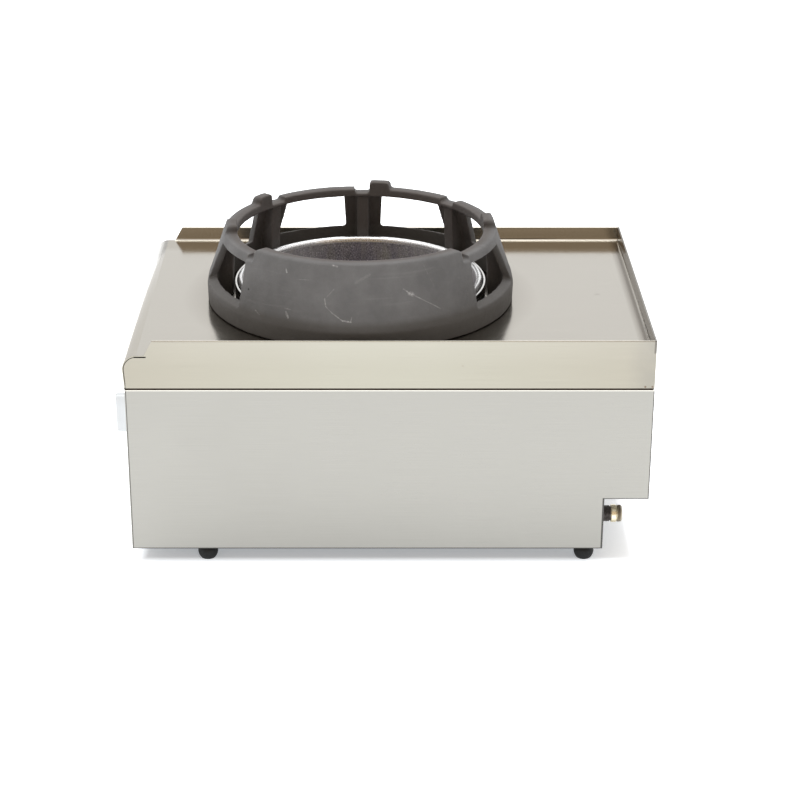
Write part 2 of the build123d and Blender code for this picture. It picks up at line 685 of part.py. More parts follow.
def make_wok_ring():
    """Cast ring: base band, leaning posts with ribs, top band, closed side and raised rests."""
    band_inner = ring_top_radius - ring_band_width
    base_inner = ring_base_radius - ring_base_wall
    sill_inner = ring_sill_radius - ring_wall
    rib_foot = collar_radius + rib_foot_gap

    body = profile([
        (ring_base_radius - ring_foot_bevel, 0), (ring_base_radius, ring_foot_rise),
        (ring_base_radius + ring_belly, ring_belly_height), (ring_crease_radius, ring_crease_height), (ring_sill_radius, ring_sill_height),
        (wall_radius(raised_z), raised_z), (band_inner, raised_z), (band_inner, band_z),
        (wall_radius(band_z) - ring_wall, band_z), (sill_inner, ring_sill_height),
        (base_inner, ring_belly_height), (base_inner, 0)])
    shoulders = [v for v in body.vertices() if v.X > ring_sill_radius - 1
                 and ring_belly_height - 1 < v.Z < ring_sill_height + 1]
    body = fillet(shoulders, shoulder_radius)
    body = fillet([v for v in body.vertices() if v.Z > raised_z - 1], rest_round)
    ring = revolve(Rot(Z=180) * body, Axis.Z)     # its seam lies in the post opposite

    foot_z = ring_crease_height - shoulder_radius
    closed = profile([
        (closed_radius(ring_crease_height) - 1, foot_z),
        (closed_radius(ring_crease_height), ring_crease_height),
        (closed_radius(raised_z), raised_z), (band_inner, raised_z), (band_inner, band_z),
        (wall_radius(band_z) - ring_wall, band_z), (sill_inner, ring_sill_height),
        (base_inner, ring_belly_height)])
    top_outer = closed.vertices().sort_by(Axis.Z)[-2:].sort_by(Axis.X)[-1]
    closed = fillet(top_outer, closed_round)
    ring += revolve(Rot(Z=-closed_half_angle) * closed, Axis.Z,
                    revolution_arc=2 * closed_half_angle)

    middle_post = (post_count - 1) / 2
    posts = [180 + (i - middle_post) * post_pitch for i in range(post_count)]
    for low in [posts[0] - post_pitch] + posts:
        ring -= make_window(low, low + post_pitch)
    for angle in posts:
        rib = extrude(profile([
            (band_inner + rib_setback, band_z + 2), (wall_radius(band_z) - 2, band_z + 2),
            (ring_sill_radius - 2, ring_sill_height), (base_inner + 2, 0), (rib_foot, 0)]),
            post_rib_width / 2, both=True)
        ring += Rot(Z=angle) * rib

    raised = ((-raised_half_angle, raised_half_angle),) + rests
    lowered = [(here[1], there[0]) for here, there in zip(raised, raised[1:])]
    lowered.append((raised[-1][1], 360 - raised_half_angle))
    for low, high in lowered:
        ring -= sector(crown_cut(ring_height, ring_top_radius), (low + high) / 2, (high - low) / 2)
    side_dips = ((raised_half_angle, raised_half_angle + end_dip_angle),
                 (-raised_half_angle - end_dip_angle, -raised_half_angle))
    dip_z = ring_height - dip_depth
    for low, high in dips + side_dips:
        ring -= sector(crown_cut(dip_z, closed_radius(dip_z)), (low + high) / 2, (high - low) / 2)
    for low, high in raised:
        ring -= tip_cut(low, 1)
        ring -= tip_cut(high, -1)
    return Pos(0, burner_y, top_z) * Rot(Z=ring_turn) * ring


# ---- burner ---------------------------------------------------------------------------------
def make_burner_body():
    """Cast burner: bell mouth, mixing tube, elbow, neck and a cup-shaped head."""
    mouth_end_y = mouth_y + mouth_length
    path = FilletPolyline((0, mouth_end_y, gas_z), (0, burner_y, gas_z), (0, burner_y, neck_z),
                          radius=elbow_radius)
    start = Plane(origin=path @ 0, z_dir=path % 0)
    bore_radius = mixing_radius - mixing_wall
    body = sweep(start * Circle(mixing_radius), path=path)
    body += to_rear(0, mouth_y, gas_z) * turned(
        [(0, 0), (mouth_radius, 0), (mouth_radius, 3), (mixing_radius, mouth_length), (0, mouth_length)])
    head_floor = head_z + head_wall
    body += Pos(0, burner_y, 0) * turned([
        (0, neck_z - 1), (mixing_radius, neck_z - 1), (head_radius, head_z),
        (head_radius, head_top_z), (0, head_top_z)])
    body += Pos(0, boss_y, bracket_z) * rod(boss_radius, boss_drop + mixing_wall)
    lug = block(-lug_reach, lug_reach, mouth_y, mouth_y + lug_length,
                gas_z - arm_width / 2, gas_z + arm_width / 2)
    body += lug
    body -= sweep(start * Circle(bore_radius), path=path)
    body -= to_rear(0, mouth_y - 1, gas_z) * turned([
        (0, 0), (mouth_radius - 2, 0), (mouth_radius - 2, 2), (bore_radius, mouth_length + 2),
        (0, mouth_length + 2)])
    body -= Pos(0, burner_y, 0) * turned([
        (0, neck_z - 2), (bore_radius, neck_z - 2), (head_radius - head_wall, head_floor),
        (head_radius - head_wall, head_top_z - crown_step),
        (crown_radius + loose_fit, head_top_z - crown_step),
        (crown_radius + loose_fit, head_top_z + 1), (0, head_top_z + 1)])
    return body


def make_burner_crown():
    """Brass crown that lies loose in the head, with a row of flame ports round its wall."""
    top = crown_height
    crown = turned([
        (crown_radius - crown_wall, 0), (crown_radius, 0), (crown_radius, top),
        (crown_radius - crown_wall, top + 2), (cap_radius, top + crown_dome),
        (cap_spigot_radius + loose_fit, top + crown_dome),
        (cap_spigot_radius + loose_fit, top + crown_dome - crown_wall),
        (crown_radius - 2 * crown_wall, top - 2), (crown_radius - crown_wall, top - crown_wall)])
    port = block(crown_radius - 2 * crown_wall, crown_radius + 1, -port_width / 2, port_width / 2,
                 top - port_height - 4, top - 4)
    ports = [Rot(Z=360 * i / port_count) * port for i in range(port_count)]
    crown -= ports
    return Pos(0, burner_y, crown_z) * crown


def make_burner_cap():
    """Cap over the crown's middle, held by its spigot."""
    cap = turned([
        (0, 0), (cap_radius, 0), (cap_radius, cap_height * 0.4), (cap_radius * 0.6, cap_height),
        (0, cap_height)])
    cap += Pos(0, 0, -cap_spigot_length) * rod(cap_spigot_radius, cap_spigot_length)
    return Pos(0, burner_y, crown_top_z) * cap


def make_burner_bracket():
    """Folded strap across the floor that carries the burner's boss."""
    half = bracket_half_span
    t = bracket_sheet
    outline = [
        (-half - bracket_foot, floor_z), (-half, floor_z), (-half, bracket_z - t),
        (half, bracket_z - t), (half, floor_z), (half + bracket_foot, floor_z),
        (half + bracket_foot, floor_z + t), (half + t, floor_z + t), (half + t, bracket_z),
        (-half - t, bracket_z), (-half - t, floor_z + t), (-half - bracket_foot, floor_z + t)]
    strap = extrude(profile(outline), bracket_width / 2, both=True)
    return Pos(0, boss_y, 0) * strap


def make_bracket_screws():
    """Hexagon-head screws at the bracket's feet and one up into the burner's boss."""
    screw = hexagon(bracket_head_width, bracket_head_height)
    x = bracket_half_span + bracket_sheet + (bracket_foot - bracket_sheet) / 2
    y = bracket_width / 4
    z = floor_z + bracket_sheet
    return [Pos(sx * x, boss_y + sy * y, z) * screw for sx in (-1, 1) for sy in (-1, 1)]


def make_injector_bracket():
    """U-shaped strap from the mouth's lugs to the injector holder."""
    outer = lug_reach + arm_sheet
    low, high = gas_z - arm_width / 2, gas_z + arm_width / 2
    strap = block(-outer, outer, holder_rear_y, mouth_y + lug_length, low, high)
    strap -= block(-lug_reach, lug_reach, holder_rear_y + arm_sheet, mouth_y + lug_length + 1,
                   low - 1, high + 1)
    strap -= to_rear(0, holder_rear_y - 1, gas_z) * rod(injector_radius, arm_sheet + 2)
    return strap


def make_injector_holder():
    """Brass block that joins the supply pipe to the injector."""
    holder = block(-holder_width / 2, holder_width / 2, holder_front_y, holder_rear_y,
                   gas_z - holder_width / 2, gas_z + holder_width / 2)
    holder = chamfer(holder.edges().filter_by(Axis.Y), 2.0)
    holder -= to_rear(0, holder_front_y - 1, gas_z) * rod(supply_radius - supply_wall,
                                                         holder_length + 2)
    return holder


def make_injector():
    """Brass jet with a tapered tip and a fine bore."""
    jet = turned([
        (injector_bore_radius, 0), (injector_radius, 0), (injector_radius, injector_length * 0.6),
        (injector_tip_radius, injector_length), (injector_bore_radius, injector_length)])
    return to_rear(0, holder_rear_y, gas_z) * jet


def make_air_shutter():
    """Round plate on the injector that sets the primary air."""
    plate = pipe_ring(shutter_radius, injector_radius, shutter_sheet)
    return to_rear(0, holder_rear_y + arm_sheet, gas_z) * plate


# ---- gas tap and knob -----------------------------------------------------------------------
def make_gas_tap():
    """Safety tap: flange, barrel, outlet, side bosses and the boss on the gas pipe."""
    half = tap_flange / 2
    flange = Box(tap_flange, tap_flange, tap_flange_thickness)
    flange = Pos(0, 0, tap_flange_thickness / 2) * fillet(flange.edges().filter_by(Axis.Z), half / 4)
    tap = flange + rod(tap_radius, tap_length)
    tap += rod(tap_outlet_radius, tap_length + tap_outlet_length)
    tap = to_rear(0, inner_front_y, gas_z) * tap
    tap += Pos(0, manifold_y, manifold_top_z) * rod(tap_boss_radius, tap_boss_drop)
    for sx in (-1, 1):
        side_boss = Rot(Y=sx * 90) * rod(tap_side_boss_radius, tap_side_boss_reach)
        tap += Pos(0, side_boss_y, gas_z) * side_boss
    cavity = tap_cap_thickness + plug_length + 2 * plug_end_play
    tap -= to_rear(0, inner_front_y - 1, gas_z) * rod(plug_radius, cavity + 1)
    tap -= to_rear(0, inner_front_y, gas_z) * rod(supply_radius - supply_wall,
                                                  tap_length + tap_outlet_length + 1)
    for sx in (-1, 1):
        hole = rod(tap_screw_radius, tap_screw_length)
        tap -= to_rear(sx * tap_screw_spacing / 2, inner_front_y - 1, gas_z) * hole
    return tap


def make_tap_cap():
    """Disc that closes the tap's bore round the stem."""
    disc = pipe_ring(plug_radius, stem_radius + loose_fit, tap_cap_thickness)
    return to_rear(0, inner_front_y, gas_z) * disc


def make_tap_plug():
    """Turning plug of the tap: cross port at its rear, pocket for the stem at its front."""
    plug = rod(plug_radius - running_fit, plug_length)
    plug -= Pos(0, 0, -1) * rod(stem_radius + running_fit, stem_pocket + 1)
    port_z = plug_length - plug_port_radius - 0.6
    plug -= Pos(0, 0, port_z) * Rot(Y=90) * Cylinder(plug_port_radius / 2, 3 * plug_radius)
    return to_rear(0, inner_front_y + tap_cap_thickness + plug_end_play, gas_z) * plug


def make_tap_stem():
    """Steel stem from the plug through the fascia into the knob, flattened where the knob sits."""
    length = stem_rear_y - stem_front_y
    stem = rod(stem_radius, length)
    flat_length = knob_rear_y - stem_front_y
    flat = block(-stem_radius, stem_radius, stem_radius * 0.55, stem_radius + 1,
                 length - flat_length, length + 1)
    stem -= flat
    return to_front(0, stem_rear_y, gas_z) * stem


def make_tap_screws():
    """Two low-head screws that hold the tap to the fascia, behind the bezel."""
    screw = rod(tap_screw_head_radius, tap_screw_head_height)
    screw += Rot(X=180) * rod(tap_screw_radius, tap_screw_length - 1)
    return [to_front(sx * tap_screw_spacing / 2, panel_front_y, gas_z) * screw for sx in (-1, 1)]


def make_knob_bezel():
    """Round dial plate on the fascia, pocketed over the tap's screws."""
    plate = pipe_ring(bezel_radius, tap_hole_radius, bezel_thickness)
    plate = chamfer(plate.edges().group_by(Axis.Z)[-1].sort_by(SortBy.LENGTH)[-1], 0.5)
    for sx in (-1, 1):
        pocket = rod(tap_screw_head_radius + screw_clearance, bezel_thickness + 2)
        plate -= Pos(sx * tap_screw_spacing / 2, 0, -1) * pocket
    return to_front(0, panel_front_y, gas_z) * plate


def make_control_knob():
    """Knob with a round skirt and a tapered grip bar, hollow behind, with a pointer groove."""
    skirt = turned([
        (0, 0), (knob_radius, 0), (knob_radius, knob_skirt_height - 2),
        (knob_radius - 2, knob_skirt_height), (0, knob_skirt_height)])
    grip_length = knob_length - knob_skirt_height
    half_low, half_high = knob_grip_width / 2, knob_grip_width / 2 - knob_taper
    core = turned([
        (0, knob_skirt_height), (knob_radius - 1.5, knob_skirt_height),
        (knob_radius - 1.5 - knob_taper, knob_length), (0, knob_length)])
    reach = knob_radius + 1
    wedge = extrude(profile([
        (-half_low, knob_skirt_height - 1), (half_low, knob_skirt_height - 1),
        (half_high, knob_length + 1), (-half_high, knob_length + 1)]), reach, both=True)
    grip = core & wedge
    grip = fillet(grip.edges().group_by(Axis.Z)[-1], 1.5)
    knob = skirt + grip
    pocket = pipe_ring(knob_radius - knob_shell, knob_hub_radius, knob_skirt_height - knob_shell)
    knob -= pocket
    seat = rod(stem_radius, knob_length - stem_cover)
    seat -= block(-stem_radius, stem_radius, stem_radius * 0.55, stem_radius + 1,
                  -1, knob_length)
    knob -= seat
    knob -= block(-0.8, 0.8, knob_radius * 0.35, knob_radius, knob_length - 1.0, knob_length + 1)
    return to_front(0, knob_rear_y, gas_z) * knob


# ---- gas pipes ------------------------------------------------------------------------------
def make_inlet_stub():
    """Steel stub of the gas pipe, through the recessed wall."""
    length = stub_inner_length + panel_sheet + stub_outer_length
    stub = pipe_ring(stub_radius, stub_bore_radius, length)
    return to_rear(inlet_x, recess_y - panel_sheet - stub_inner_length, inlet_z) * stub


def make_inlet_nipple():
    """Brass nipple screwed into the stub, with the outside thread for the gas hose."""
    nipple = rod(inlet_thread_radius, inlet_thread_length)
    nipple = chamfer(nipple.edges().sort_by(Axis.Z)[-1], inlet_chamfer)
    nipple += Pos(0, 0, -inlet_spigot_length) * rod(stub_bore_radius, inlet_spigot_length)
    nipple -= Pos(0, 0, -inlet_spigot_length - 1) * rod(
        inlet_bore_radius, inlet_spigot_length + inlet_thread_length + 2)
    return to_rear(inlet_x, recess_y + stub_outer_length, inlet_z) * nipple


def make_inlet_backnut():
    """Hexagon nut on the stub, inside the recessed wall."""
    nut = hexagon(backnut_width, backnut_thickness) - rod(stub_radius, backnut_thickness)
    return to_rear(inlet_x, recess_y - panel_sheet - backnut_thickness, inlet_z) * nut


def make_manifold_pipe():
    """Steel pipe from the inlet forward along the right side and across to the tap."""
    start_y = recess_y - panel_sheet - stub_inner_length
    points = [(inlet_x, start_y, inlet_z), (inlet_x, manifold_y, inlet_z),
              (0, manifold_y, inlet_z), (0, manifold_y, manifold_top_z)]
    return bent_tube(points, manifold_bend, manifold_radius, manifold_wall)


def make_manifold_nut():
    """Hexagon nut that joins the pipe to the tap's boss."""
    nut = hexagon(manifold_nut_width, manifold_nut_height)
    nut -= rod(manifold_radius, manifold_nut_height)
    return Pos(0, manifold_y, manifold_top_z - manifold_nut_height) * nut


def make_supply_pipe():
    """Short copper pipe from the tap's outlet to the injector holder."""
    pipe = pipe_ring(supply_radius, supply_radius - supply_wall, holder_front_y - outlet_y)
    return to_rear(0, outlet_y, gas_z) * pipe


def make_supply_nuts():
    """Compression nuts at both ends of the supply pipe."""
    nut = hexagon(supply_nut_width, supply_nut_length) - rod(supply_radius, supply_nut_length)
    return [to_rear(0, outlet_y, gas_z) * nut,
            to_rear(0, holder_front_y - supply_nut_length, gas_z) * nut]


def small_pipe_points(side):
    """Route from a side boss of the tap, over the mixing tube, up to the pilot's plate."""
    x = side * small_pipe_side
    tip = side * pilot_side
    return [(side * tap_side_boss_reach, side_boss_y, gas_z), (x, side_boss_y, gas_z),
            (x, pilot_y, gas_z), (x, pilot_y, crossover_z), (tip, pilot_y, crossover_z),
            (tip, pilot_y, pilot_plate_z)]


def make_pilot_pipe():
    """Thin copper pipe that feeds the pilot."""
    return bent_tube(small_pipe_points(1), small_bend, pilot_pipe_radius)


def make_thermocouple_lead():
    """Thin lead from the thermocouple back to the tap."""
    return bent_tube(small_pipe_points(-1), small_bend, lead_radius)


# ---- pilot ----------------------------------------------------------------------------------
def make_pilot_plate():
    """Plate clamped round the burner's neck that carries the pilot and the thermocouple."""
    top = pilot_plate_z + pilot_plate_sheet
    outer = mixing_radius + pilot_plate_collar
    plate = Pos(0, burner_y, pilot_plate_z) * rod(outer, pilot_plate_sheet)
    plate += block(-pilot_plate_half_width, pilot_plate_half_width,
                   pilot_y - pilot_plate_margin, burner_y, pilot_plate_z, top)
    plate -= Pos(0, burner_y, pilot_plate_z - 1) * rod(mixing_radius, pilot_plate_sheet + 2)
    return plate


def make_pilot_burner():
    """Pilot tube with a slanted hood turned to the crown."""
    tube = rod(pilot_radius, pilot_height)
    tube -= Pos(0, pilot_radius * 1.2, pilot_height) * Box(
        4 * pilot_radius, 2 * pilot_radius, 2 * pilot_hood)
    tube -= Pos(0, 0, pilot_height - 2 * pilot_hood) * rod(pilot_radius / 2, pilot_hood * 1.5)
    return Pos(pilot_side, pilot_y, pilot_plate_z + pilot_plate_sheet) * tube


def make_thermocouple():
    """Probe with a hexagon collar and a rounded tip beside the pilot flame."""
    probe = rod(probe_radius, probe_height)
    probe = fillet(probe.edges().sort_by(Axis.Z)[-1], probe_radius * 0.9)
    probe += hexagon(3.2 * probe_radius, 3 * probe_radius)
    return Pos(-pilot_side, pilot_y, pilot_plate_z + pilot_plate_sheet) * probe


# ---- all pieces, one file each --------------------------------------------------------------
pieces = {
    "worktop": make_worktop(),
    "burner_collar": make_burner_collar(),
    "side_panel_right": make_side_panel(1),
    "side_panel_left": make_side_panel(-1),
    "front_panel": make_front_panel(),
    "rear_panel": make_rear_panel(),
    "inlet_recess_panel": make_inlet_recess_panel(),
    "base_panel": make_base_panel(),
    "feet": make_feet(),
    "foot_screws": make_foot_screws(),
    "foot_nuts": make_foot_nuts(),
    "rear_screws": make_rear_screws(),
    "burner_bowl": make_burner_bowl(),
    "wok_ring": make_wok_ring(),
    "burner_body": make_burner_body(),
    "burner_crown": make_burner_crown(),
    "burner_cap": make_burner_cap(),
    "burner_bracket": make_burner_bracket(),
    "bracket_screws": make_bracket_screws(),
    "injector_bracket": make_injector_bracket(),
    "injector_holder": make_injector_holder(),
    "injector": make_injector(),
    "air_shutter": make_air_shutter(),
    "gas_tap": make_gas_tap(),
    "tap_cap": make_tap_cap(),
    "tap_plug": make_tap_plug(),
    "tap_stem": make_tap_stem(),
    "tap_screws": make_tap_screws(),
    "knob_bezel": make_knob_bezel(),
    "control_knob": make_control_knob(),
    "inlet_nipple": make_inlet_nipple(),
    "inlet_stub": make_inlet_stub(),
    "inlet_backnut": make_inlet_backnut(),
    "manifold_pipe": make_manifold_pipe(),
    "manifold_nut": make_manifold_nut(),
    "supply_pipe": make_supply_pipe(),
    "supply_nuts": make_supply_nuts(),
    "pilot_plate": make_pilot_plate(),
    "pilot_burner": make_pilot_burner(),
    "pilot_pipe": make_pilot_pipe(),
    "thermocouple": make_thermocouple(),
    "thermocouple_lead": make_thermocouple_lead(),
}

os.makedirs("parts", exist_ok=True)
for name, solid in pieces.items():
    shape = Compound(children=list(solid)) if isinstance(solid, (list, ShapeList)) else solid
    export_step(shape, f"parts/{name}.step")
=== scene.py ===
import math

import bmesh
import bpy
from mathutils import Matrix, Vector


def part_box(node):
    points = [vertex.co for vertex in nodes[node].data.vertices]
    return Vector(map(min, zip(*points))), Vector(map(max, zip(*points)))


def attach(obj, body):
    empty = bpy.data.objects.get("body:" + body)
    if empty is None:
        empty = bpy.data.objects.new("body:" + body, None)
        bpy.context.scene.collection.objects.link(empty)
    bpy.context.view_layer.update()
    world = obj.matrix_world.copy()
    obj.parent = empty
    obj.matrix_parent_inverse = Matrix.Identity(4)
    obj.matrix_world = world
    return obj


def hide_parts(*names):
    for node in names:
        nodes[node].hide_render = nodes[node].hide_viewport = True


# Table-top gas wok range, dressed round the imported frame.  Metres.  +Z is up, the front with the
# knob faces -Y, and the photograph looks from the appliance's right side, along -X.

MM = 0.001

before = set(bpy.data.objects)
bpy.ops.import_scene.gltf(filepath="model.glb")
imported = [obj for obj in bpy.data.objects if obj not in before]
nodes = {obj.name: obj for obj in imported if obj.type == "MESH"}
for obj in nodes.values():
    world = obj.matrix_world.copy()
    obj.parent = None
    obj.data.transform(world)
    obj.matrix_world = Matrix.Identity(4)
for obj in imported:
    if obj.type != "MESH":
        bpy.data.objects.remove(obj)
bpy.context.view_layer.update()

# ---- places read from the frame ---------------------------------------------------------------
top_low, top_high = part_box("worktop")
panel_low, panel_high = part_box("side_panel_right")
bowl_low, bowl_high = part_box("burner_bowl")
knob_low, knob_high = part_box("control_knob")
stub_low, stub_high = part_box("inlet_stub")
nipple_low, nipple_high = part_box("inlet_nipple")
front_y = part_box("front_panel")[0].y
rear_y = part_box("rear_panel")[1].y
notch_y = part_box("inlet_recess_panel")[0].y
worktop_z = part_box("wok_ring")[0].z
knob_z = (knob_low.z + knob_high.z) / 2
burner_axis = Vector(((bowl_low.x + bowl_high.x) / 2, (bowl_low.y + bowl_high.y) / 2, 0))
ring_foot = (burner_axis.x, burner_axis.y, worktop_z)

# Measures that no box in the frame gives.
WORKTOP_SHEET = 1.2 * MM
SEAM_HIGH = worktop_z - 39.3 * MM    # lower edge of the worktop's skirt
SEAM_LOW = SEAM_HIGH - 2.3 * MM      # upper edge of the panels under it
NOTCH_HIGH = 84 * MM                 # top of the cut-out at the gas inlet
WELD = 0.01 * MM                     # merges the doubled vertices of the CAD meshes
CASTING_WELD = 0.02 * MM             # the same for the ring and the knob


# ---- node helpers -----------------------------------------------------------------------------
class Graph:
    """Builds one node tree. Values are numbers, colours or the outputs of other nodes."""

    def __init__(self, tree, place):
        self.tree = tree
        self.tree.nodes.clear()
        self.place = self.add("ShaderNodeTexCoord").outputs[place]

    def add(self, kind):
        return self.tree.nodes.new(kind)

    def link(self, source, target):
        self.tree.links.new(source, target)

    def set(self, node, socket, value):
        target = node.inputs[socket]
        if isinstance(value, bpy.types.NodeSocket):
            self.link(value, target)
        else:
            target.default_value = value

    def stretch(self, scale, turn=(0, 0, 0)):
        node = self.add("ShaderNodeMapping")
        self.set(node, "Vector", self.place)
        self.set(node, "Rotation", turn)
        self.set(node, "Scale", scale)
        return node.outputs[0]

    def noise(self, scale, vector=None, detail=2.0, rough=0.5, warp=0.0):
        node = self.add("ShaderNodeTexNoise")
        self.set(node, "Vector", vector or self.place)
        self.set(node, "Scale", scale)
        self.set(node, "Detail", detail)
        self.set(node, "Roughness", rough)
        self.set(node, "Distortion", warp)
        return node.outputs[0]

    def cells(self, scale):
        node = self.add("ShaderNodeTexVoronoi")
        self.set(node, "Vector", self.place)
        self.set(node, "Scale", scale)
        return node.outputs[0]

    def spread(self, value, low, high, to_low=0.0, to_high=1.0):
        """Maps low..high to to_low..to_high, clamped."""
        node = self.add("ShaderNodeMapRange")
        for socket, number in enumerate((value, low, high, to_low, to_high)):
            self.set(node, socket, number)
        return node.outputs[0]

    def math(self, operation, first, second=0.0):
        node = self.add("ShaderNodeMath")
        node.operation = operation
        self.set(node, 0, first)
        self.set(node, 1, second)
        return node.outputs[0]

    def vector(self, operation, first, second=None):
        """The outputs of a vector math node, which are named Vector and Value."""
        node = self.add("ShaderNodeVectorMath")
        node.operation = operation
        self.set(node, 0, first)
        if second is not None:
            self.set(node, "Scale" if operation == "SCALE" else 1, second)
        return node.outputs

    def mix(self, share, first, second, blend="MIX"):
        node = self.add("ShaderNodeMix")
        node.data_type = "RGBA"
        node.blend_type = blend
        self.set(node, 0, share)
        for socket, colour in ((6, first), (7, second)):
            self.set(node, socket, colour if isinstance(colour, bpy.types.NodeSocket)
                     else (*colour, 1))
        return node.outputs[2]

    def tint(self, share, base, colour):
        return self.mix(share, base, colour, "MULTIPLY")

    def axis(self, name, vector=None):
        node = self.add("ShaderNodeSeparateXYZ")
        self.set(node, 0, vector or self.place)
        return node.outputs["XYZ".index(name)]

    def join(self, x=0.0, y=0.0, z=0.0):
        node = self.add("ShaderNodeCombineXYZ")
        for socket, number in enumerate((x, y, z)):
            self.set(node, socket, number)
        return node.outputs[0]

    def offset(self, origin):
        return self.vector("SUBTRACT", self.place, tuple(origin))["Vector"]

    def length(self, vector):
        return self.vector("LENGTH", vector)["Value"]

    def absolute(self, value):
        return self.math("ABSOLUTE", value)

    def above(self, value, edge, soft=0.2 * MM):
        """1 where the value is over the edge, 0 where it is under, with a short ramp."""
        return self.spread(value, edge - soft / 2, edge + soft / 2)

    def below(self, value, edge, soft=0.2 * MM):
        """1 where the value is under the edge, 0 where it is over, with a short ramp."""
        return self.spread(value, edge - soft / 2, edge + soft / 2, 1.0, 0.0)

    def both(self, *shares):
        result = shares[0]
        for share in shares[1:]:
            result = self.math("MULTIPLY", result, share)
        return result

    def either(self, *shares):
        result = shares[0]
        for share in shares[1:]:
            result = self.math("MAXIMUM", result, share)
        return result

    def ragged(self, gap, pattern, amount):
        """A distance made uneven by a pattern, half of the amount each way."""
        return self.math("ADD", gap,
                         self.math("MULTIPLY", self.math("SUBTRACT", pattern, 0.5), amount))


class Finish(Graph):
    """A procedural material around one Principled shader, placed by object coordinates."""

    def __init__(self, name, colour, roughness, metallic=0.0):
        self.material = bpy.data.materials.new(name)
        self.material.use_nodes = True
        super().__init__(self.material.node_tree, "Object")
        output = self.add("ShaderNodeOutputMaterial")
        self.shader = self.add("ShaderNodeBsdfPrincipled")
        self.link(self.shader.outputs[0], output.inputs["Surface"])
        self.colour((*colour, 1))
        self.roughness(roughness)
        self.set(self.shader, "Metallic", metallic)

    def colour(self, value):
        self.set(self.shader, "Base Color", value)

    def roughness(self, value):
        self.set(self.shader, "Roughness", value)

    def bump(self, height, depth, strength, over=None):
        """Relief in the shader's normal, laid over another relief if one is given."""
        node = self.add("ShaderNodeBump")
        self.set(node, "Height", height)
        self.set(node, "Distance", depth)
        self.set(node, "Strength", strength)
        if over is not None:
            self.set(node, "Normal", over)
        self.set(self.shader, "Normal", node.outputs[0])
        return node.outputs[0]

    def hairlines(self, along):
        """Polishing lines with their faint relief; along is the axis that they are finest on."""
        hair = self.noise(1.0, self.stretch(scales(along, 900.0, 260.0)), detail=4.0, warp=0.4)
        self.bump(hair, 0.02 * MM, 0.3)
        return hair


def scales(axis, along, across):
    """A scale for X, Y and Z: one number on the named axis and another on the other two."""
    return [along if name == axis else across for name in "XYZ"]


def tone(colour, factor):
    return [min(1.0, c * factor) for c in colour]


# ---- materials --------------------------------------------------------------------------------
INK = (0.01, 0.01, 0.01)
DEEP_BLACK = (0.006, 0.006, 0.006)
STEEL = (0.495, 0.470, 0.422)
BODY = (0.301, 0.295, 0.273)

# Small stains on the worktop: place in mm, radius in mm, colour, cover.
STAINS = (
    ((200, 307, 224.5), 1.5, (0.10, 0.06, 0.035), 0.75),
    ((200, 315, 224.5), 1.5, (0.10, 0.06, 0.035), 0.75),
    ((2, 270, 262), 5.0, (0.30, 0.28, 0.25), 0.25),
    ((199.8, 101, 250), 1.0, (0.16, 0.13, 0.10), 0.5),
)


def brushed_sheet(name, colour, roughness, grain="Y", extra=None):
    """Stainless sheet with a fine grain along one axis and faint cloudy handling marks."""
    g = Finish(name, colour, roughness, metallic=1.0)
    lines = g.noise(1.0, g.stretch(scales(grain, 12.0, 2600.0)), detail=3.0)
    clouds = g.noise(7.0, detail=4.0)
    base = g.mix(g.spread(lines, 0.25, 0.75), tone(colour, 0.94), tone(colour, 1.03))
    base = g.mix(g.spread(clouds, 0.35, 0.75, 0.0, 0.12), base, tone(colour, 0.82))
    g.colour(extra(g, base) if extra else base)
    rough = g.spread(lines, 0.3, 0.7, roughness - 0.03, roughness + 0.04)
    g.roughness(g.math("ADD", rough, g.spread(clouds, 0.45, 0.8, 0.0, 0.05)))
    g.bump(lines, 0.01 * MM, 0.25)
    return g.material


def panel_edge_shade_and_highlight(g, base):
    """Painted shade along the side panels' edges, at the foot, at the upright ends and round the
    inlet notch, and under the worktop's skirt a painted highlight on the panels' top edge and then
    black painted shade in the gap of the seam."""
    y, z = g.axis("Y"), g.axis("Z")
    edge = 1.1 * MM
    foot = g.below(z, panel_low.z + edge)
    ends = g.either(g.below(y, panel_low.y + 0.7 * edge), g.above(y, panel_high.y - edge))
    notch = g.both(g.above(y, notch_y - edge), g.below(z, NOTCH_HIGH + edge))
    # painted shade: the edges darkened as if in shadow
    base = g.mix(g.both(g.either(foot, ends, notch), 0.85), base, (0.030, 0.028, 0.028))
    # painted highlight along the panels' top edge under the skirt
    base = g.mix(g.above(z, SEAM_LOW - edge), base, (0.66, 0.64, 0.58))
    # painted shade: black above the panels' top edge, in the gap behind the skirt
    return g.mix(g.above(z, SEAM_LOW), base, (0.012, 0.010, 0.008))


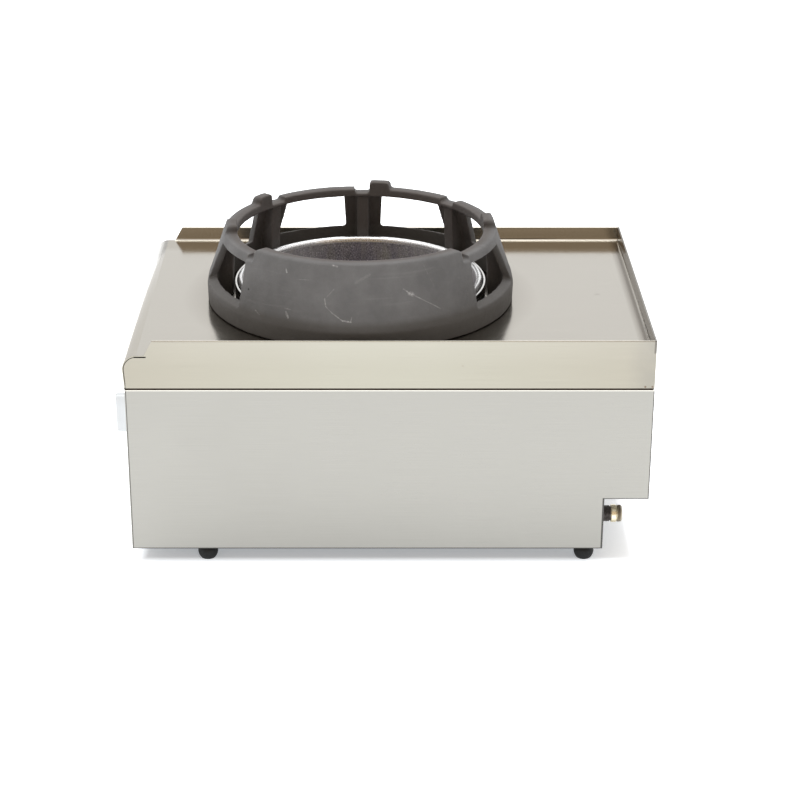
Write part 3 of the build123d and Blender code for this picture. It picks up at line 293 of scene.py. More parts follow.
def skirt_tints(g, base):
    """Skirts darker than the top of the same sheet as painted shade, darker and warmer low down
    and towards their ends, stained at the rear, with black painted shade in the slit behind the
    rolled front edge."""
    y, z = g.axis("Y"), g.axis("Z")
    outer = g.either(g.above(g.absolute(g.axis("X")), top_high.x - 0.7 * MM),
                     g.below(y, top_low.y + 1.0 * MM), g.above(y, top_high.y - 1.0 * MM))
    # painted shade: the skirts' faces darker than the top of the same sheet
    base = g.tint(outer, base, (0.680, 0.686, 0.651))
    low_down = g.spread(z, worktop_z - 14 * MM, worktop_z + 14 * MM, 1.0, 0.0)
    base = g.tint(g.both(outer, low_down), base, (0.94, 0.94, 0.925))
    from_middle = g.absolute(g.math("SUBTRACT", y, 10 * MM))
    base = g.tint(g.both(outer, g.spread(from_middle, 60 * MM, 290 * MM)), base,
                  (0.925, 0.905, 0.90))
    slit = g.both(outer, g.above(z, worktop_z - 2.4 * MM), g.below(z, worktop_z - 0.9 * MM),
                  g.above(y, top_low.y + 14 * MM), g.below(y, top_low.y + 27.5 * MM))
    # painted shade: black in the slit behind the rolled front edge
    base = g.mix(slit, base, DEEP_BLACK)
    rear_end = g.both(outer, g.spread(y, top_high.y - 34 * MM, top_high.y - 6 * MM))
    cloudy = g.spread(g.noise(38.0, detail=4.0), 0.3, 0.6, 0.4, 1.0)
    return g.tint(g.both(rear_end, cloudy), base, (0.86, 0.87, 0.90))


def worktop_tints(g, base):
    """Skirt tints, painted contact shade and reflection of the ring round its foot, painted shade
    on the rear upstand's face, painted reflections of the rear and far upstands on the flat, and
    small stains."""
    x, y, z = g.axis("X"), g.axis("Y"), g.axis("Z")
    base = skirt_tints(g, base)
    within = g.both(g.below(g.absolute(x), top_high.x - 2 * MM), g.below(y, top_high.y - 2 * MM))
    flat = g.both(within, g.above(z, worktop_z - 0.5 * MM), g.below(z, worktop_z + 0.6 * MM))
    # painted contact shade and painted reflection of the ring, round its foot
    from_ring = g.length(g.offset(ring_foot))
    near = g.both(flat, g.spread(from_ring, 183 * MM, 214 * MM, 1.0, 0.0))
    base = g.tint(g.both(near, 0.85), base, (0.80, 0.785, 0.775))
    # painted shade on the rear upstand's face
    upstand = g.both(g.above(z, worktop_z + 3 * MM, 2 * MM), g.above(y, top_high.y - 2.9 * MM))
    base = g.tint(upstand, base, (0.56, 0.55, 0.56))
    # painted reflection of the rear upstand, just in front of it
    painted_rear_reflection = g.both(flat, g.spread(y, top_high.y - 16 * MM, top_high.y - 9 * MM))
    base = g.tint(painted_rear_reflection, base, (0.62, 0.60, 0.58))
    # painted reflection of the far upstand
    far = g.both(flat, g.spread(x, -172 * MM, -155 * MM, 1.0, 0.0))
    base = g.tint(far, base, (0.86, 0.85, 0.82))
    blots = g.noise(210.0, detail=4.0, rough=0.6)
    for place, radius, colour, cover in STAINS:
        gap = g.ragged(g.length(g.offset(v * MM for v in place)), blots, radius * MM)
        base = g.mix(g.spread(gap, 0.4 * radius * MM, radius * MM, cover, 0.0), base, colour)
    return base


def polished(name, colour, roughness):
    """Smooth bright metal with faint hairlines."""
    g = Finish(name, colour, roughness, metallic=1.0)
    hair = g.hairlines("Z")
    g.colour(g.mix(g.spread(hair, 0.4, 0.7), colour, tone(colour, 0.86)))
    g.roughness(g.spread(hair, 0.35, 0.75, roughness, roughness + 0.12))
    return g.material


def bowl_finish(name):
    """Spun bowl: bright rolled rim and hem over a grey, coarsely speckled wall with faint tint
    bands, darker and bluer on the far side."""
    g = Finish(name, (0.30, 0.28, 0.26), 0.5, metallic=0.85)
    local = g.offset(burner_axis)
    x, y, z = g.axis("X", local), g.axis("Y", local), g.axis("Z")
    turn = g.math("ARCTAN2", y, x)
    wrap = g.join(x=g.math("MULTIPLY", turn, 3.0), z=g.math("MULTIPLY", z, 4.0))
    bands = g.noise(2.2, wrap, detail=3.0, rough=0.6)
    speck = g.noise(620.0, detail=4.0, rough=0.85)
    patch = g.noise(24.0, detail=5.0, rough=0.6)
    wall = g.mix(g.spread(bands, 0.44, 0.66), (0.305, 0.300, 0.325), (0.400, 0.395, 0.360))
    wall = g.mix(g.spread(patch, 0.42, 0.66, 0.0, 0.40), wall, (0.215, 0.210, 0.225))
    wall = g.mix(g.spread(speck, 0.53, 0.60, 0.0, 0.75), wall, (0.78, 0.75, 0.78))
    wall = g.mix(g.spread(speck, 0.47, 0.41, 0.0, 0.6), wall, (0.085, 0.080, 0.090))
    from_far = g.absolute(g.math("SUBTRACT", g.absolute(turn), math.pi))
    wall = g.tint(g.spread(from_far, 0.55, 0.05), wall, (0.80, 0.78, 0.84))
    wall = g.mix(g.spread(from_far, 0.30, 0.80, 0.0, 0.35), wall, (0.62, 0.60, 0.62))
    outside = g.both(g.above(g.length(g.join(x, y)), 139.7 * MM),
                     g.above(z, bowl_high.z - 40 * MM, 8 * MM))
    rim = g.either(g.spread(z, bowl_high.z - 7.0 * MM, bowl_high.z - 5.0 * MM), outside)
    g.colour(g.mix(rim, wall, (0.84, 0.84, 0.84)))
    g.roughness(g.math("ADD", g.spread(rim, 0.0, 1.0, 0.56, 0.24),
                       g.spread(speck, 0.4, 0.7, 0.0, 0.08)))
    g.bump(speck, 0.12 * MM, 0.5)
    return g.material


def cast_iron(name, colour, roughness=0.72, marks_and_shade=False):
    """Matt coated casting: fine grain, soft blotches, painted shade on upward faces, lighter edges
    that are partly wear and partly a painted highlight and, on the wok ring, its painted shade and
    its marks."""
    g = Finish(name, colour, roughness)
    grain = g.noise(1500.0, detail=3.0, rough=0.7)
    blotch = g.noise(26.0, detail=6.0, rough=0.62)
    pits = g.cells(420.0)
    surface = g.add("ShaderNodeNewGeometry").outputs
    base = g.mix(g.spread(blotch, 0.35, 0.68), tone(colour, 0.86), tone(colour, 1.14))
    base = g.mix(g.spread(grain, 0.42, 0.62, 0.0, 0.30), base, tone(colour, 0.70))
    # painted shade: faces that look up are darkened
    upward = g.spread(g.axis("Z", surface["Normal"]), 0.35, 0.95, 0.0, 0.45)
    base = g.mix(upward, base, tone(colour, 0.80))
    # partly edge wear, partly a painted highlight on the edges
    edge_wear_and_highlight = g.spread(surface["Pointiness"], 0.515, 0.56, 0.0, 0.5)
    base = g.mix(edge_wear_and_highlight, base, tone(colour, 1.9))
    scuffs = g.noise(1.0, g.stretch((26.0, 7.0, 160.0), turn=(0.5, 0.2, 0.3)), detail=5.0,
                     warp=0.6)
    base = g.mix(g.spread(scuffs, 0.60, 0.74, 0.0, 0.10), base, (0.26, 0.25, 0.245))
    # on the wok ring: its painted shade, then its marks
    if marks_and_shade:
        base = chalk_marks(g, painted_ring_shade(g, base, surface["Normal"]))
    g.colour(base)
    g.roughness(g.spread(blotch, 0.3, 0.7, roughness + 0.06, roughness - 0.07))
    g.set(g.shader, "Specular IOR Level", 0.42)
    pitted = g.bump(g.spread(pits, 0.0, 0.55), 0.22 * MM, 0.35)
    g.bump(grain, 0.16 * MM, 0.6, over=pitted)
    return g.material


# Chalk strokes on the ring's closed side: (angle from +X in degrees, height above the worktop in
# mm) of both ends, half width in mm, and how strongly the chalk covers.
CHALK = (
    ((-9.6, 67.5), (-12.9, 56.5), 0.40, 0.30),
    ((-12.9, 56.5), (-12.3, 48.5), 0.65, 0.48),
    ((-12.3, 48.5), (-9.8, 42.0), 0.50, 0.42),
    ((-9.8, 42.0), (-6.0, 34.2), 0.60, 0.42),
    ((-6.0, 34.2), (-3.0, 33.0), 0.75, 0.48),
    ((-3.0, 33.0), (-2.6, 38.0), 0.50, 0.36),
    ((17.0, 66.5), (19.6, 60.5), 0.65, 0.40),
    ((19.5, 60.6), (20.3, 59.4), 2.00, 0.44),
    ((20.3, 59.4), (30.9, 39.5), 0.45, 0.32),
    ((-10.6, 93.6), (-8.7, 92.6), 1.00, 0.60),
    ((-29.9, 83.0), (-29.4, 80.0), 0.90, 0.42),
    ((-28.3, 41.0), (-25.6, 40.6), 0.55, 0.32),
    ((-27.6, 37.0), (-26.4, 31.5), 1.10, 0.30),
    ((25.9, 92.0), (29.7, 64.0), 0.35, 0.18),
    ((4.0, 84.0), (-1.0, 76.0), 1.60, 0.08),
    ((-24.8, 74.2), (-18.2, 75.6), 0.40, 0.20),
    ((-41.0, 31.0), (-38.5, 27.0), 0.80, 0.28),
    ((-50.5, 31.5), (-53.5, 28.5), 0.90, 0.30),
)
CHALK_COLOUR = (0.52, 0.51, 0.50)
PIT = (-46.5, 50.5)         # angle and height of a dark pit

# The closed side's outer face, in mm: an upright foot band and a wall that leans in above it.
BAND_RADIUS = 183.2
BAND_HEIGHT = 30.0
WALL_RADIUS = 181.7
WALL_LEAN = 0.298


def painted_ring_shade(g, base, normal):
    """Brown painted shade inside the ring, on its foot band and a little above it, darkest low
    down, and on the far ends of the closed side.
    """
    local = g.offset(ring_foot)
    x, y, height = g.axis("X", local), g.axis("Y", local), g.axis("Z", local)
    radius = g.length(g.join(x, y))
    across = g.math("ADD", g.math("MULTIPLY", g.axis("X", normal), x),
                    g.math("MULTIPLY", g.axis("Y", normal), y))
    outward = g.math("DIVIDE", across, radius)
    wall = g.spread(height, BAND_HEIGHT * MM, 86 * MM, WALL_RADIUS * MM, 165.0 * MM)
    depth = g.math("SUBTRACT", wall, radius)
    inside = g.either(g.spread(depth, 5 * MM, 13 * MM), g.spread(outward, -0.1, -0.5))
    # painted shade inside the ring
    base = g.mix(g.both(inside, 0.85), base, (0.060, 0.050, 0.045))
    band = g.spread(height, 27 * MM, 34 * MM, 1.0, 0.0)
    # painted shade on the upright foot band
    base = g.mix(g.both(band, 0.80), base, (0.072, 0.067, 0.062))
    # painted shade, darker towards the worktop
    base = g.mix(g.spread(height, 3 * MM, 20 * MM, 0.55, 0.0), base, (0.045, 0.040, 0.036))
    base = g.mix(g.spread(height, 34 * MM, 58 * MM, 0.13, 0.0), base, (0.050, 0.047, 0.045))
    # painted shade at the closed side's far ends
    ends = g.either(g.spread(y, -80 * MM, -170 * MM, 0.0, 0.20),
                    g.spread(y, 110 * MM, 170 * MM, 0.0, 0.26))
    return g.mix(ends, base, (0.055, 0.050, 0.047))


def side_point(angle, height):
    """A point on the closed side of the ring; the angle in degrees and the height in mm."""
    if height < BAND_HEIGHT:
        radius = BAND_RADIUS * MM
    else:
        radius = (WALL_RADIUS - (height - BAND_HEIGHT) * WALL_LEAN) * MM
    turn = math.radians(angle)
    return Vector((burner_axis.x + radius * math.cos(turn),
                   burner_axis.y + radius * math.sin(turn), worktop_z + height * MM))


def chalk_marks(g, base):
    """Pale strokes with broken edges on the closed side, and one pit painted as a black spot of
    shade.
    """
    crumbs = g.noise(420.0, detail=4.0, rough=0.7)
    broken = g.spread(g.noise(560.0, detail=3.0, rough=0.8), 0.40, 0.56, 0.30, 1.15)
    for start, end, half_width, cover in CHALK:
        first, width = side_point(*start), half_width * MM
        along = side_point(*end) - first
        here = g.offset(first)
        share = g.spread(g.vector("DOT_PRODUCT", here, tuple(along / along.length_squared))
                         ["Value"], 0.0, 1.0)
        nearest = g.vector("SCALE", tuple(along), share)["Vector"]
        gap = g.ragged(g.vector("DISTANCE", here, nearest)["Value"], crumbs, -3 * width)
        stroke = g.spread(gap, 0.2 * width, 1.5 * width, cover, 0.0)
        base = g.mix(g.both(stroke, broken), base, CHALK_COLOUR)
    pit = g.length(g.offset(side_point(*PIT)))
    # painted shade: a black spot for a pit that the mesh does not have
    return g.mix(g.spread(pit, 0.7 * MM, 1.7 * MM, 0.95, 0.0), base, DEEP_BLACK)


def rubber(name):
    """Black rubber with a little dust and a fine uneven skin."""
    g = Finish(name, (0.010, 0.010, 0.010), 0.5)
    grain = g.noise(700.0, detail=4.0, rough=0.7)
    dust = g.noise(60.0, detail=5.0)
    g.colour(g.mix(g.spread(dust, 0.45, 0.75, 0.0, 0.30), (0.003, 0.003, 0.003),
                   (0.016, 0.015, 0.014)))
    g.roughness(g.spread(grain, 0.3, 0.7, 0.42, 0.60))
    g.set(g.shader, "Specular IOR Level", 0.28)
    g.bump(grain, 0.1 * MM, 0.5)
    return g.material


def worn_metal(name, colour, stain, roughness, share=0.4, fine=420.0):
    """Machined or plated metal with tarnish in patches."""
    g = Finish(name, colour, roughness, metallic=1.0)
    tarnish = g.noise(70.0, detail=6.0, rough=0.65)
    tool = g.noise(fine, detail=3.0, rough=0.6)
    g.colour(g.mix(g.spread(tarnish, 0.42, 0.68, 0.0, share), colour, stain))
    g.roughness(g.math("ADD", g.spread(tarnish, 0.35, 0.7, roughness, roughness + 0.16),
                       g.spread(tool, 0.35, 0.65, -0.03, 0.05)))
    g.bump(tool, 0.05 * MM, 0.4)
    return g.material


def coated(name, colour, roughness):
    """Silver paint on the moulded knob: tiny flakes, a clear coat, soft scuffs and a black
    pointer line at the upper end of the grip's front."""
    g = Finish(name, colour, roughness, metallic=0.25)
    x, y, z = g.axis("X"), g.axis("Y"), g.axis("Z")
    flakes = g.noise(2200.0, detail=2.0, rough=0.8)
    scuffs = g.noise(90.0, detail=5.0, rough=0.6)
    base = g.mix(g.spread(flakes, 0.3, 0.7), tone(colour, 0.93), tone(colour, 1.04))
    pointer = g.both(g.above(y, knob_low.y + 0.35 * MM), g.below(y, knob_low.y + 1.3 * MM),
                     g.below(g.absolute(x), 0.95 * MM), g.above(z, knob_z + 7 * MM))
    g.colour(g.mix(pointer, base, INK))
    g.roughness(g.spread(scuffs, 0.35, 0.7, roughness, roughness + 0.1))
    g.set(g.shader, "Coat Weight", 0.35)
    g.set(g.shader, "Coat Roughness", 0.12)
    g.bump(scuffs, 0.03 * MM, 0.3)
    return g.material


def collar_finish(name):
    """Polished turned-up edge, darker and duller low down, below its rim."""
    bright = (0.74, 0.73, 0.71)
    g = Finish(name, bright, 0.2, metallic=1.0)
    hair = g.hairlines("Z")
    dull = g.below(g.axis("Z"), worktop_z + 13 * MM, 5 * MM)
    base = g.mix(g.spread(hair, 0.4, 0.7), bright, (0.64, 0.63, 0.61))
    g.colour(g.mix(g.both(dull, 0.85), base, (0.10, 0.09, 0.08)))
    g.roughness(g.math("ADD", g.spread(hair, 0.35, 0.75, 0.15, 0.25), g.both(dull, 0.2)))
    return g.material


def dial_plate(name):
    """Bright plate behind the knob, with generic tick marks every 30 degrees round its lower
    part and a heavier one at the top."""
    bright = (0.72, 0.71, 0.69)
    g = Finish(name, bright, 0.18, metallic=1.0)
    hair = g.hairlines("Y")
    x, z = g.axis("X"), g.math("SUBTRACT", g.axis("Z"), knob_z)
    radius = g.math("SQRT", g.math("ADD", g.math("MULTIPLY", x, x), g.math("MULTIPLY", z, z)))
    turn = g.math("ARCTAN2", x, z)
    half_step = math.radians(30) / 2
    off_line = g.math("MULTIPLY", radius, g.math("PINGPONG", turn, half_step))
    ticks = g.both(g.below(off_line, 0.35 * MM, 0.1 * MM), g.below(z, 1 * MM))
    top_tick = g.both(g.below(g.absolute(x), 0.8 * MM), g.above(z, 0.0))
    band = g.both(g.above(radius, 27 * MM), g.below(radius, 30 * MM))
    base = g.mix(g.spread(hair, 0.4, 0.7), bright, (0.62, 0.61, 0.59))
    g.colour(g.mix(g.both(band, g.either(ticks, top_tick)), base, INK))
    g.roughness(g.spread(hair, 0.35, 0.75, 0.16, 0.26))
    return g.material


worktop_steel = brushed_sheet("worktop_steel", STEEL, 0.14, extra=worktop_tints)
body_steel = brushed_sheet("body_steel", BODY, 0.30, extra=panel_edge_shade_and_highlight)
front_steel = brushed_sheet("front_steel", BODY, 0.28, grain="X")
bright_steel = polished("bright_steel", (0.72, 0.71, 0.69), 0.13)
bowl_steel = bowl_finish("bowl_steel")
foot_rubber = rubber("foot_rubber")
screw_steel = worn_metal("screw_steel", (0.50, 0.49, 0.46), (0.30, 0.28, 0.25), 0.30)
ring_iron = cast_iron("ring_iron", (0.105, 0.103, 0.103), marks_and_shade=True)
burner_iron = cast_iron("burner_iron", (0.085, 0.080, 0.077), 0.78)
crown_brass = worn_metal("crown_brass", (0.52, 0.37, 0.17), (0.16, 0.11, 0.07), 0.34, 0.6)
bracket_steel = worn_metal("bracket_steel", (0.46, 0.46, 0.45), (0.34, 0.34, 0.34), 0.36, 0.7,
                           fine=120.0)
tap_aluminium = worn_metal("tap_aluminium", (0.50, 0.50, 0.51), (0.36, 0.36, 0.37), 0.42)
pipe_brass = worn_metal("pipe_brass", (0.66, 0.52, 0.27), (0.38, 0.27, 0.12), 0.26)
pipe_copper = worn_metal("pipe_copper", (0.66, 0.38, 0.26), (0.34, 0.18, 0.11), 0.28)
dark_steel = worn_metal("dark_steel", (0.16, 0.15, 0.145), (0.06, 0.05, 0.045), 0.42, 0.7)
knob_silver = coated("knob_silver", (0.615, 0.640, 0.660), 0.34)
dial_steel = dial_plate("dial_steel")
collar_steel = collar_finish("collar_steel")
# painted shade: near-black finish for the strip that stands in for the seam's shadow
seam_shadow_black = worn_metal("seam_shadow_black", (0.060, 0.047, 0.036), (0.030, 0.022, 0.016), 0.60)
# brass made paler, partly as a painted highlight
pale_brass_painted_highlight = worn_metal("pale_brass_painted_highlight", (0.86, 0.78, 0.58), (0.62, 0.54, 0.36), 0.24)
# brass made darker, partly as painted shade
dull_brass_painted_shade = worn_metal("dull_brass_painted_shade", (0.36, 0.32, 0.25), (0.20, 0.17, 0.12), 0.38)

FINISH = {
    "worktop": worktop_steel, "burner_collar": collar_steel, "burner_bowl": bowl_steel,
    "side_panel_right": body_steel, "side_panel_left": body_steel, "front_panel": front_steel,
    "rear_panel": front_steel, "inlet_recess_panel": front_steel, "base_panel": body_steel,
    "feet": foot_rubber, "foot_screws": screw_steel, "foot_nuts": screw_steel,
    "rear_screws": screw_steel, "wok_ring": ring_iron, "burner_body": burner_iron,
    "burner_crown": crown_brass, "burner_cap": crown_brass, "burner_bracket": bracket_steel,
    "bracket_screws": screw_steel, "injector_bracket": bracket_steel,
    "injector_holder": pipe_brass, "injector": pipe_brass, "air_shutter": bracket_steel,
    "gas_tap": tap_aluminium, "tap_cap": tap_aluminium, "tap_plug": pipe_brass,
    "tap_stem": bright_steel, "tap_screws": screw_steel, "knob_bezel": dial_steel,
    "control_knob": knob_silver, "inlet_nipple": pipe_brass, "inlet_stub": dark_steel,
    "inlet_backnut": pipe_brass, "manifold_pipe": dark_steel, "manifold_nut": pipe_brass,
    "supply_pipe": pipe_copper, "supply_nuts": pipe_brass, "pilot_plate": bracket_steel,
    "pilot_burner": pipe_brass, "pilot_pipe": pipe_copper, "thermocouple": bright_steel,
    "thermocouple_lead": pipe_copper,
}
for name, node in nodes.items():
    node.data.materials.clear()
    node.data.materials.append(FINISH[name])


# ---- object helpers ---------------------------------------------------------------------------
def placed(name, data):
    obj = bpy.data.objects.new(name, data)
    bpy.context.scene.collection.objects.link(obj)
    return obj


def weld(obj, distance):
    obj.modifiers.new("weld", "WELD").merge_threshold = distance


def round_edges(obj, width, segments, angle):
    """Bevels the edges where faces turn by more than this many degrees."""
    bevel = obj.modifiers.new("edges", "BEVEL")
    bevel.width = width
    bevel.segments = segments
    bevel.limit_method = "ANGLE"
    bevel.angle_limit = math.radians(angle)


def finished(obj, name):
    """The object with its modifiers applied to its mesh, under a new name."""
    graph = bpy.context.evaluated_depsgraph_get()
    mesh = bpy.data.meshes.new_from_object(obj.evaluated_get(graph))
    mesh.name = name
    bpy.data.objects.remove(obj)
    return placed(name, mesh)


def dress(mesh, material, crease=None):
    """One material and smooth faces, kept sharp where they turn by more than crease degrees."""
    mesh.materials.clear()
    mesh.materials.append(material)
    mesh.shade_smooth()
    if crease:
        mesh.set_sharp_from_angle(angle=math.radians(crease))


def skin(name, rings, material, ends=True):
    """Faces between rings of points; ends=False joins the last ring to the first instead."""
    build = bmesh.new()
    rows = [[build.verts.new(point) for point in ring] for ring in rings]
    pairs = list(zip(rows, rows[1:])) + ([] if ends else [(rows[-1], rows[0])])
    for first, second in pairs:
        for i in range(len(first)):
            j = (i + 1) % len(first)
            build.faces.new((first[i], first[j], second[j], second[i]))
    if ends:
        build.faces.new(list(reversed(rows[0])))
        build.faces.new(rows[-1])
    bmesh.ops.recalc_face_normals(build, faces=build.faces)
    mesh = bpy.data.meshes.new(name)
    build.to_mesh(mesh)
    build.free()
    dress(mesh, material, crease=38)
    return placed(name, mesh)


# ---- cast ring --------------------------------------------------------------------------------
def uneven(obj, name, size, depth):
    """Pushes the surface in, never out, by up to depth, with a cloudy pattern of this size."""
    texture = bpy.data.textures.new(name, "CLOUDS")
    texture.noise_scale = size
    texture.noise_depth = 3
    push = obj.modifiers.new(name, "DISPLACE")
    push.texture = texture
    push.texture_coords = "LOCAL"
    push.strength = depth
    push.mid_level = 1.0


def cast_ring():
    """The CAD ring with the soft edges and the uneven skin of a sand casting."""
    work = placed("ring_work", nodes["wok_ring"].data.copy())
    weld(work, CASTING_WELD)
    remesh = work.modifiers.new("remesh", "REMESH")
    remesh.mode = "VOXEL"
    remesh.voxel_size = 1.3 * MM
    remesh.use_smooth_shade = True
    soften = work.modifiers.new("soften", "SMOOTH")
    soften.factor = 0.5
    soften.iterations = 3
    uneven(work, "ring_waves", 35 * MM, 0.6 * MM)
    uneven(work, "ring_skin", 4 * MM, 0.22 * MM)
    ring = finished(work, "wok_ring_casting")
    dress(ring.data, ring_iron)
    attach(ring, "ring")
    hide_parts("wok_ring")


# ---- gas inlet --------------------------------------------------------------------------------
def turned(name, centre, profile, material):
    """Lathe round an axis along Y; profile is (place along Y, radius) or, for a thread,
    (place, radius, depth, pitch)."""
    around = 72
    rings = []
    for y, radius, *thread in profile:
        ring = []
        for i in range(around):
            turn = 2 * math.pi * i / around
            r = radius
            if thread:
                depth, pitch = thread
                phase = (y / pitch + i / around) % 1.0
                r -= depth * abs(2 * phase - 1)
            ring.append((centre.x + r * math.cos(turn), y, centre.z + r * math.sin(turn)))
        rings.append(ring)
    return skin(name, rings, material)


def steps(origin, *places):
    """Rows of a profile: distances from origin along Y, with their radii, both in mm."""
    return [(origin + away * MM, radius * MM) for away, radius in places]


def thread_rows(start, end, radius, depth, pitch):
    """Rows of a profile for a thread from start to end; radius, depth and pitch in mm."""
    per_turn = 8
    radius, depth, pitch = radius * MM, depth * MM, pitch * MM
    count = round((end - start) / pitch * per_turn)
    return [(start + (end - start) * i / count, radius, depth, pitch) for i in range(count + 1)]


def gas_inlet():
    """Threaded iron stub, pale brass collar with a groove, made paler partly as a painted
    highlight, and a duller threaded brass end, made darker partly as painted shade.
    """
    centre = (nipple_low + nipple_high) / 2
    join, face = stub_high.y, nipple_high.y
    stub = turned("inlet_stub_threaded", centre,
                  steps(stub_low.y, (0, 8.6))
                  + thread_rows(stub_low.y + 1 * MM, join - 1.6 * MM, 9.9, 0.9, 1.8)
                  + steps(join, (-1.5, 8.4), (0, 8.4)), dark_steel)
    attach(stub, "cabinet")
    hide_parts("inlet_stub")
    collar = turned("inlet_collar", centre,
                    steps(nipple_low.y, (0, 7.6))
                    + steps(join, (0, 7.6), (0.05, 9.9), (0.6, 10.4), (5.8, 10.4), (6.4, 9.7),
                            (6.6, 9.0), (7.3, 9.0)), pale_brass_painted_highlight)
    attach(collar, "cabinet")
    bore = 6.3
    nose = turned("inlet_thread", centre,
                  steps(join, (7.2, bore), (7.2, 8.8))
                  + thread_rows(join + 7.4 * MM, face - 1.3 * MM, 10.3, 0.8, 1.4)
                  + steps(face, (-1.2, 9.7), (-0.1, 8.8), (0, 8.5), (0, bore + 0.4), (-0.4, bore))
                  + steps(join, (7.3, bore - 0.02)), dull_brass_painted_shade)
    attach(nose, "cabinet")
    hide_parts("inlet_nipple")


# ---- seam, knob and screws --------------------------------------------------------------------
def seam_shadow_bead():
    """Black strip in the open gap under the worktop skirt, all the way round the cabinet: painted
    shade, a dark piece put where there is only shadow.
    """
    low, high = SEAM_LOW + 0.05 * MM, SEAM_HIGH - 0.05 * MM
    back, lip = -1.0 * MM, 0.7 * MM          # how far it reaches in and out of the panels' faces
    bevel_out, bevel_up = 0.3 * MM, 0.4 * MM
    profile = ((back, low), (lip - bevel_out, low), (lip, low + bevel_up),
               (lip, high - bevel_up), (lip - bevel_out, high), (back, high))
    corner = 2 * MM                          # radius of the cabinet's upright corners
    middle = 0.3 * corner
    rings = []
    for out, z in profile:
        x = top_high.x - WORKTOP_SHEET + out
        front, rear = front_y - out, rear_y + out
        ring = []
        for sx, y, sy in ((1, front, -1), (1, rear, 1), (-1, rear, 1), (-1, front, -1)):
            points = [(sx * x, y - sy * corner, z),
                      (sx * (x - middle), y - sy * middle, z),
                      (sx * (x - corner), y, z)]
            ring += points if sx * sy > 0 else list(reversed(points))
        rings.append(ring)
    bead = skin("seam_shadow_bead", rings, seam_shadow_black, ends=False)
    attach(bead, "cabinet")


def dressed_knob():
    """The CAD knob with rounded edges and its grip carried out to the edge of the skirt."""
    skirt_height = 7 * MM
    grip_half, grip_taper = 23.5, 2.0        # the CAD grip's half length and its taper, in mm
    reach, draft = 24.7, 0.012               # the new half length in mm and its taper, a share
    mesh = nodes["control_knob"].data.copy()
    grip_rear = knob_high.y - skirt_height
    length = grip_rear - knob_low.y
    for vertex in mesh.vertices:
        along = (grip_rear - vertex.co.y) / length
        if along > 0.004:                    # in front of the skirt's face
            grow = reach / (grip_half - grip_taper * along) - draft * along
            vertex.co.z = knob_z + (vertex.co.z - knob_z) * grow
    work = placed("knob_work", mesh)
    weld(work, CASTING_WELD)
    round_edges(work, 0.8 * MM, 3, 42)
    knob = finished(work, "control_knob_dressed")
    dress(knob.data, knob_silver, crease=40)
    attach(knob, "knob")
    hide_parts("control_knob")


def head_places(mesh, direction):
    """The middle of the head's face, towards direction, of each loose part of the mesh."""
    shape = bmesh.new()
    shape.from_mesh(mesh)
    bmesh.ops.remove_doubles(shape, verts=shape.verts, dist=WELD)
    seen, heads = set(), []
    for first in shape.verts:
        if first in seen:
            continue
        seen.add(first)
        stack, part = [first], []
        while stack:
            vertex = stack.pop()
            part.append(vertex.co.copy())
            for joined in vertex.link_edges:
                other = joined.other_vert(vertex)
                if other not in seen:
                    seen.add(other)
                    stack.append(other)
        low = Vector([min(c[i] for c in part) for i in range(3)])
        high = Vector([max(c[i] for c in part) for i in range(3)])
        middle = (low + high) / 2
        top = max(c.dot(direction) for c in part)
        heads.append(middle + direction * (top - middle.dot(direction)))
    shape.free()
    return heads


def cross_cutter(name, heads, direction):
    """Two crossing blocks at each head, which narrow into it."""
    arm, depth = 2.1 * MM, 1.1 * MM
    thin, narrow = 0.24, 0.55                # a block's width and its inner end, as shares
    side = direction.orthogonal().normalized()
    other = direction.cross(side)
    build = bmesh.new()
    for head in heads:
        for long, short in ((side, other), (other, side)):
            rows = []
            for d, scale in ((-depth, narrow), (depth, 1.0)):
                rows.append([build.verts.new(head + direction * d + long * a * arm * scale
                                             + short * b * arm * thin)
                             for a, b in ((-1, -1), (1, -1), (1, 1), (-1, 1))])
            low, high = rows
            build.faces.new(low)
            build.faces.new(high)
            for i in range(4):
                j = (i + 1) % 4
                build.faces.new((low[i], low[j], high[j], high[i]))
    bmesh.ops.recalc_face_normals(build, faces=build.faces)
    mesh = bpy.data.meshes.new(name)
    build.to_mesh(mesh)
    build.free()
    return placed(name, mesh)


def crossed_screws(name, body, direction):
    """The node's screws with a cross recess cut in each head, which faces along direction."""
    source = nodes[name].data
    work = placed(name + "_work", source.copy())
    weld(work, WELD)
    tool = cross_cutter(name + "_cutter", head_places(source, direction), direction)
    cut = work.modifiers.new("cross", "BOOLEAN")
    cut.operation = "DIFFERENCE"
    cut.object = tool
    cut.solver = "EXACT"
    cut.use_self = True
    screws = finished(work, name + "_crossed")
    bpy.data.objects.remove(tool)
    dress(screws.data, screw_steel, crease=35)
    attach(screws, body)
    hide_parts(name)


cast_ring()
gas_inlet()
seam_shadow_bead()
dressed_knob()
crossed_screws("rear_screws", "cabinet", Vector((0, 1, 0)))
crossed_screws("foot_screws", "cabinet", Vector((0, 0, -1)))
crossed_screws("bracket_screws", "cabinet", Vector((0, 0, -1)))

for name, width in (("worktop", 0.45), ("side_panel_right", 0.5), ("side_panel_left", 0.5),
                    ("front_panel", 0.4), ("rear_panel", 0.4)):
    weld(nodes[name], WELD)
    round_edges(nodes[name], width * MM, 2, 50)


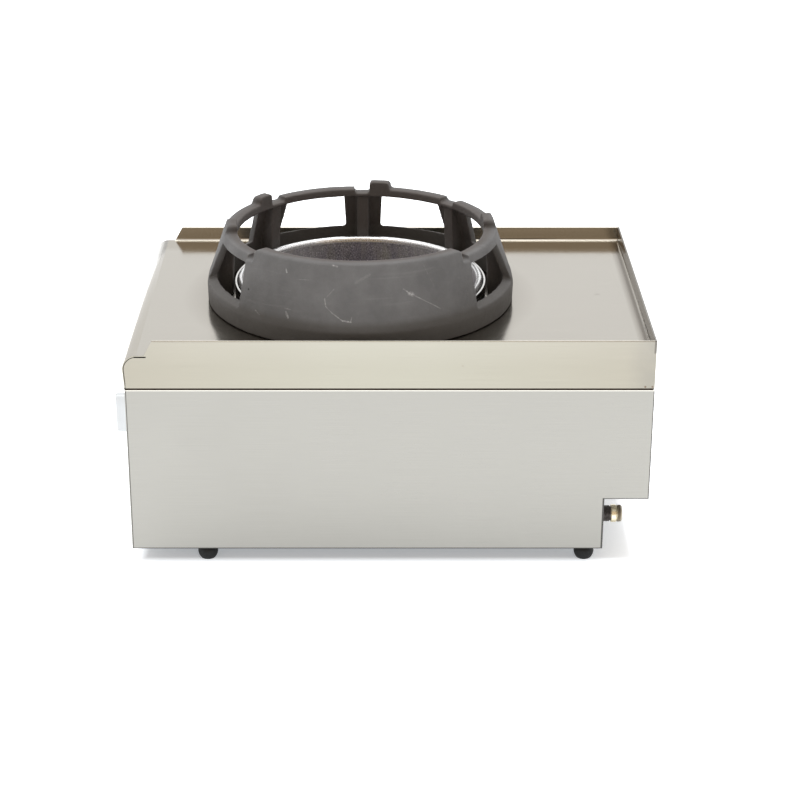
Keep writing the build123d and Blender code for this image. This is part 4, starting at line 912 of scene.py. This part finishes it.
# ---- floor, light and camera ------------------------------------------------------------------
def floor():
    """White floor with a glow of its own though it is no lamp: painted light, with a cool tint,
    weaker under the range and rising just inside its edges, as a painted shadow.
    """
    mesh = bpy.data.meshes.new("floor")
    build = bmesh.new()
    bmesh.ops.create_grid(build, x_segments=1, y_segments=1, size=9.0)
    build.to_mesh(mesh)
    build.free()
    obj = placed("floor", mesh)
    g = Finish("floor_white", (0.86, 0.86, 0.86), 0.9)
    middle = (top_low + top_high) / 2
    half = (top_high - top_low) / 2
    past_x = g.math("SUBTRACT", g.absolute(g.axis("X")), half.x)
    past_y = g.math("SUBTRACT", g.absolute(g.math("SUBTRACT", g.axis("Y"), middle.y)), half.y)
    past = g.either(past_x, past_y)
    # painted light: the floor glows, with a cool tint
    g.set(g.shader, "Emission Color", (0.95, 1.0, 1.05, 1))
    # painted shadow: the glow drops under the range
    g.set(g.shader, "Emission Strength", g.spread(past, -17 * MM, -3 * MM, 0.34, 0.92))
    mesh.materials.append(g.material)


def soft_light(name, place, size, power):
    """Square soft box aimed at the middle of the range."""
    lamp = bpy.data.lights.new(name, "AREA")
    lamp.shape = "SQUARE"
    lamp.size = size
    lamp.energy = power
    obj = placed(name, lamp)
    obj.location = place
    aim = Vector((0, 0, 0.2)) - Vector(place)
    obj.rotation_euler = aim.to_track_quat("-Z", "Y").to_euler()


def studio():
    """Pale surround, brighter on the far side, with a dim warm patch round one direction on the
    near side."""
    world = bpy.data.worlds.new("studio")
    bpy.context.scene.world = world
    world.use_nodes = True
    g = Graph(world.node_tree, "Generated")
    near_side = g.spread(g.axis("X"), -0.25, 0.55)
    surround = g.mix(near_side, (1.12, 1.12, 1.12), (0.76, 0.73, 0.71))
    warm = g.vector("DOT_PRODUCT", g.place, (0.92, 0.0, 0.39))["Value"]
    full = g.mix(g.spread(warm, 0.72, 0.93), surround, (0.70, 0.57, 0.43))
    back = g.add("ShaderNodeBackground")
    output = g.add("ShaderNodeOutputWorld")
    g.link(full, back.inputs["Color"])
    g.link(back.outputs[0], output.inputs["Surface"])


def camera():
    """Stands off the right side, looking down at the worktop, framed a little to the rear."""
    data = bpy.data.cameras.new("camera")
    data.sensor_width = 36.0
    data.lens = 93.777
    data.shift_x = 0.02721
    data.clip_end = 60.0
    obj = placed("camera", data)
    obj.location = (2.36219, 0.00602, 1.14066)
    obj.rotation_euler = (math.radians(90 - 23.32312), 0, math.radians(90))
    bpy.context.scene.camera = obj


floor()
soft_light("overhead", (-0.5, -0.2, 3.2), 3.2, 100.0)
studio()
camera()
bpy.context.scene.view_settings.view_transform = "Standard"
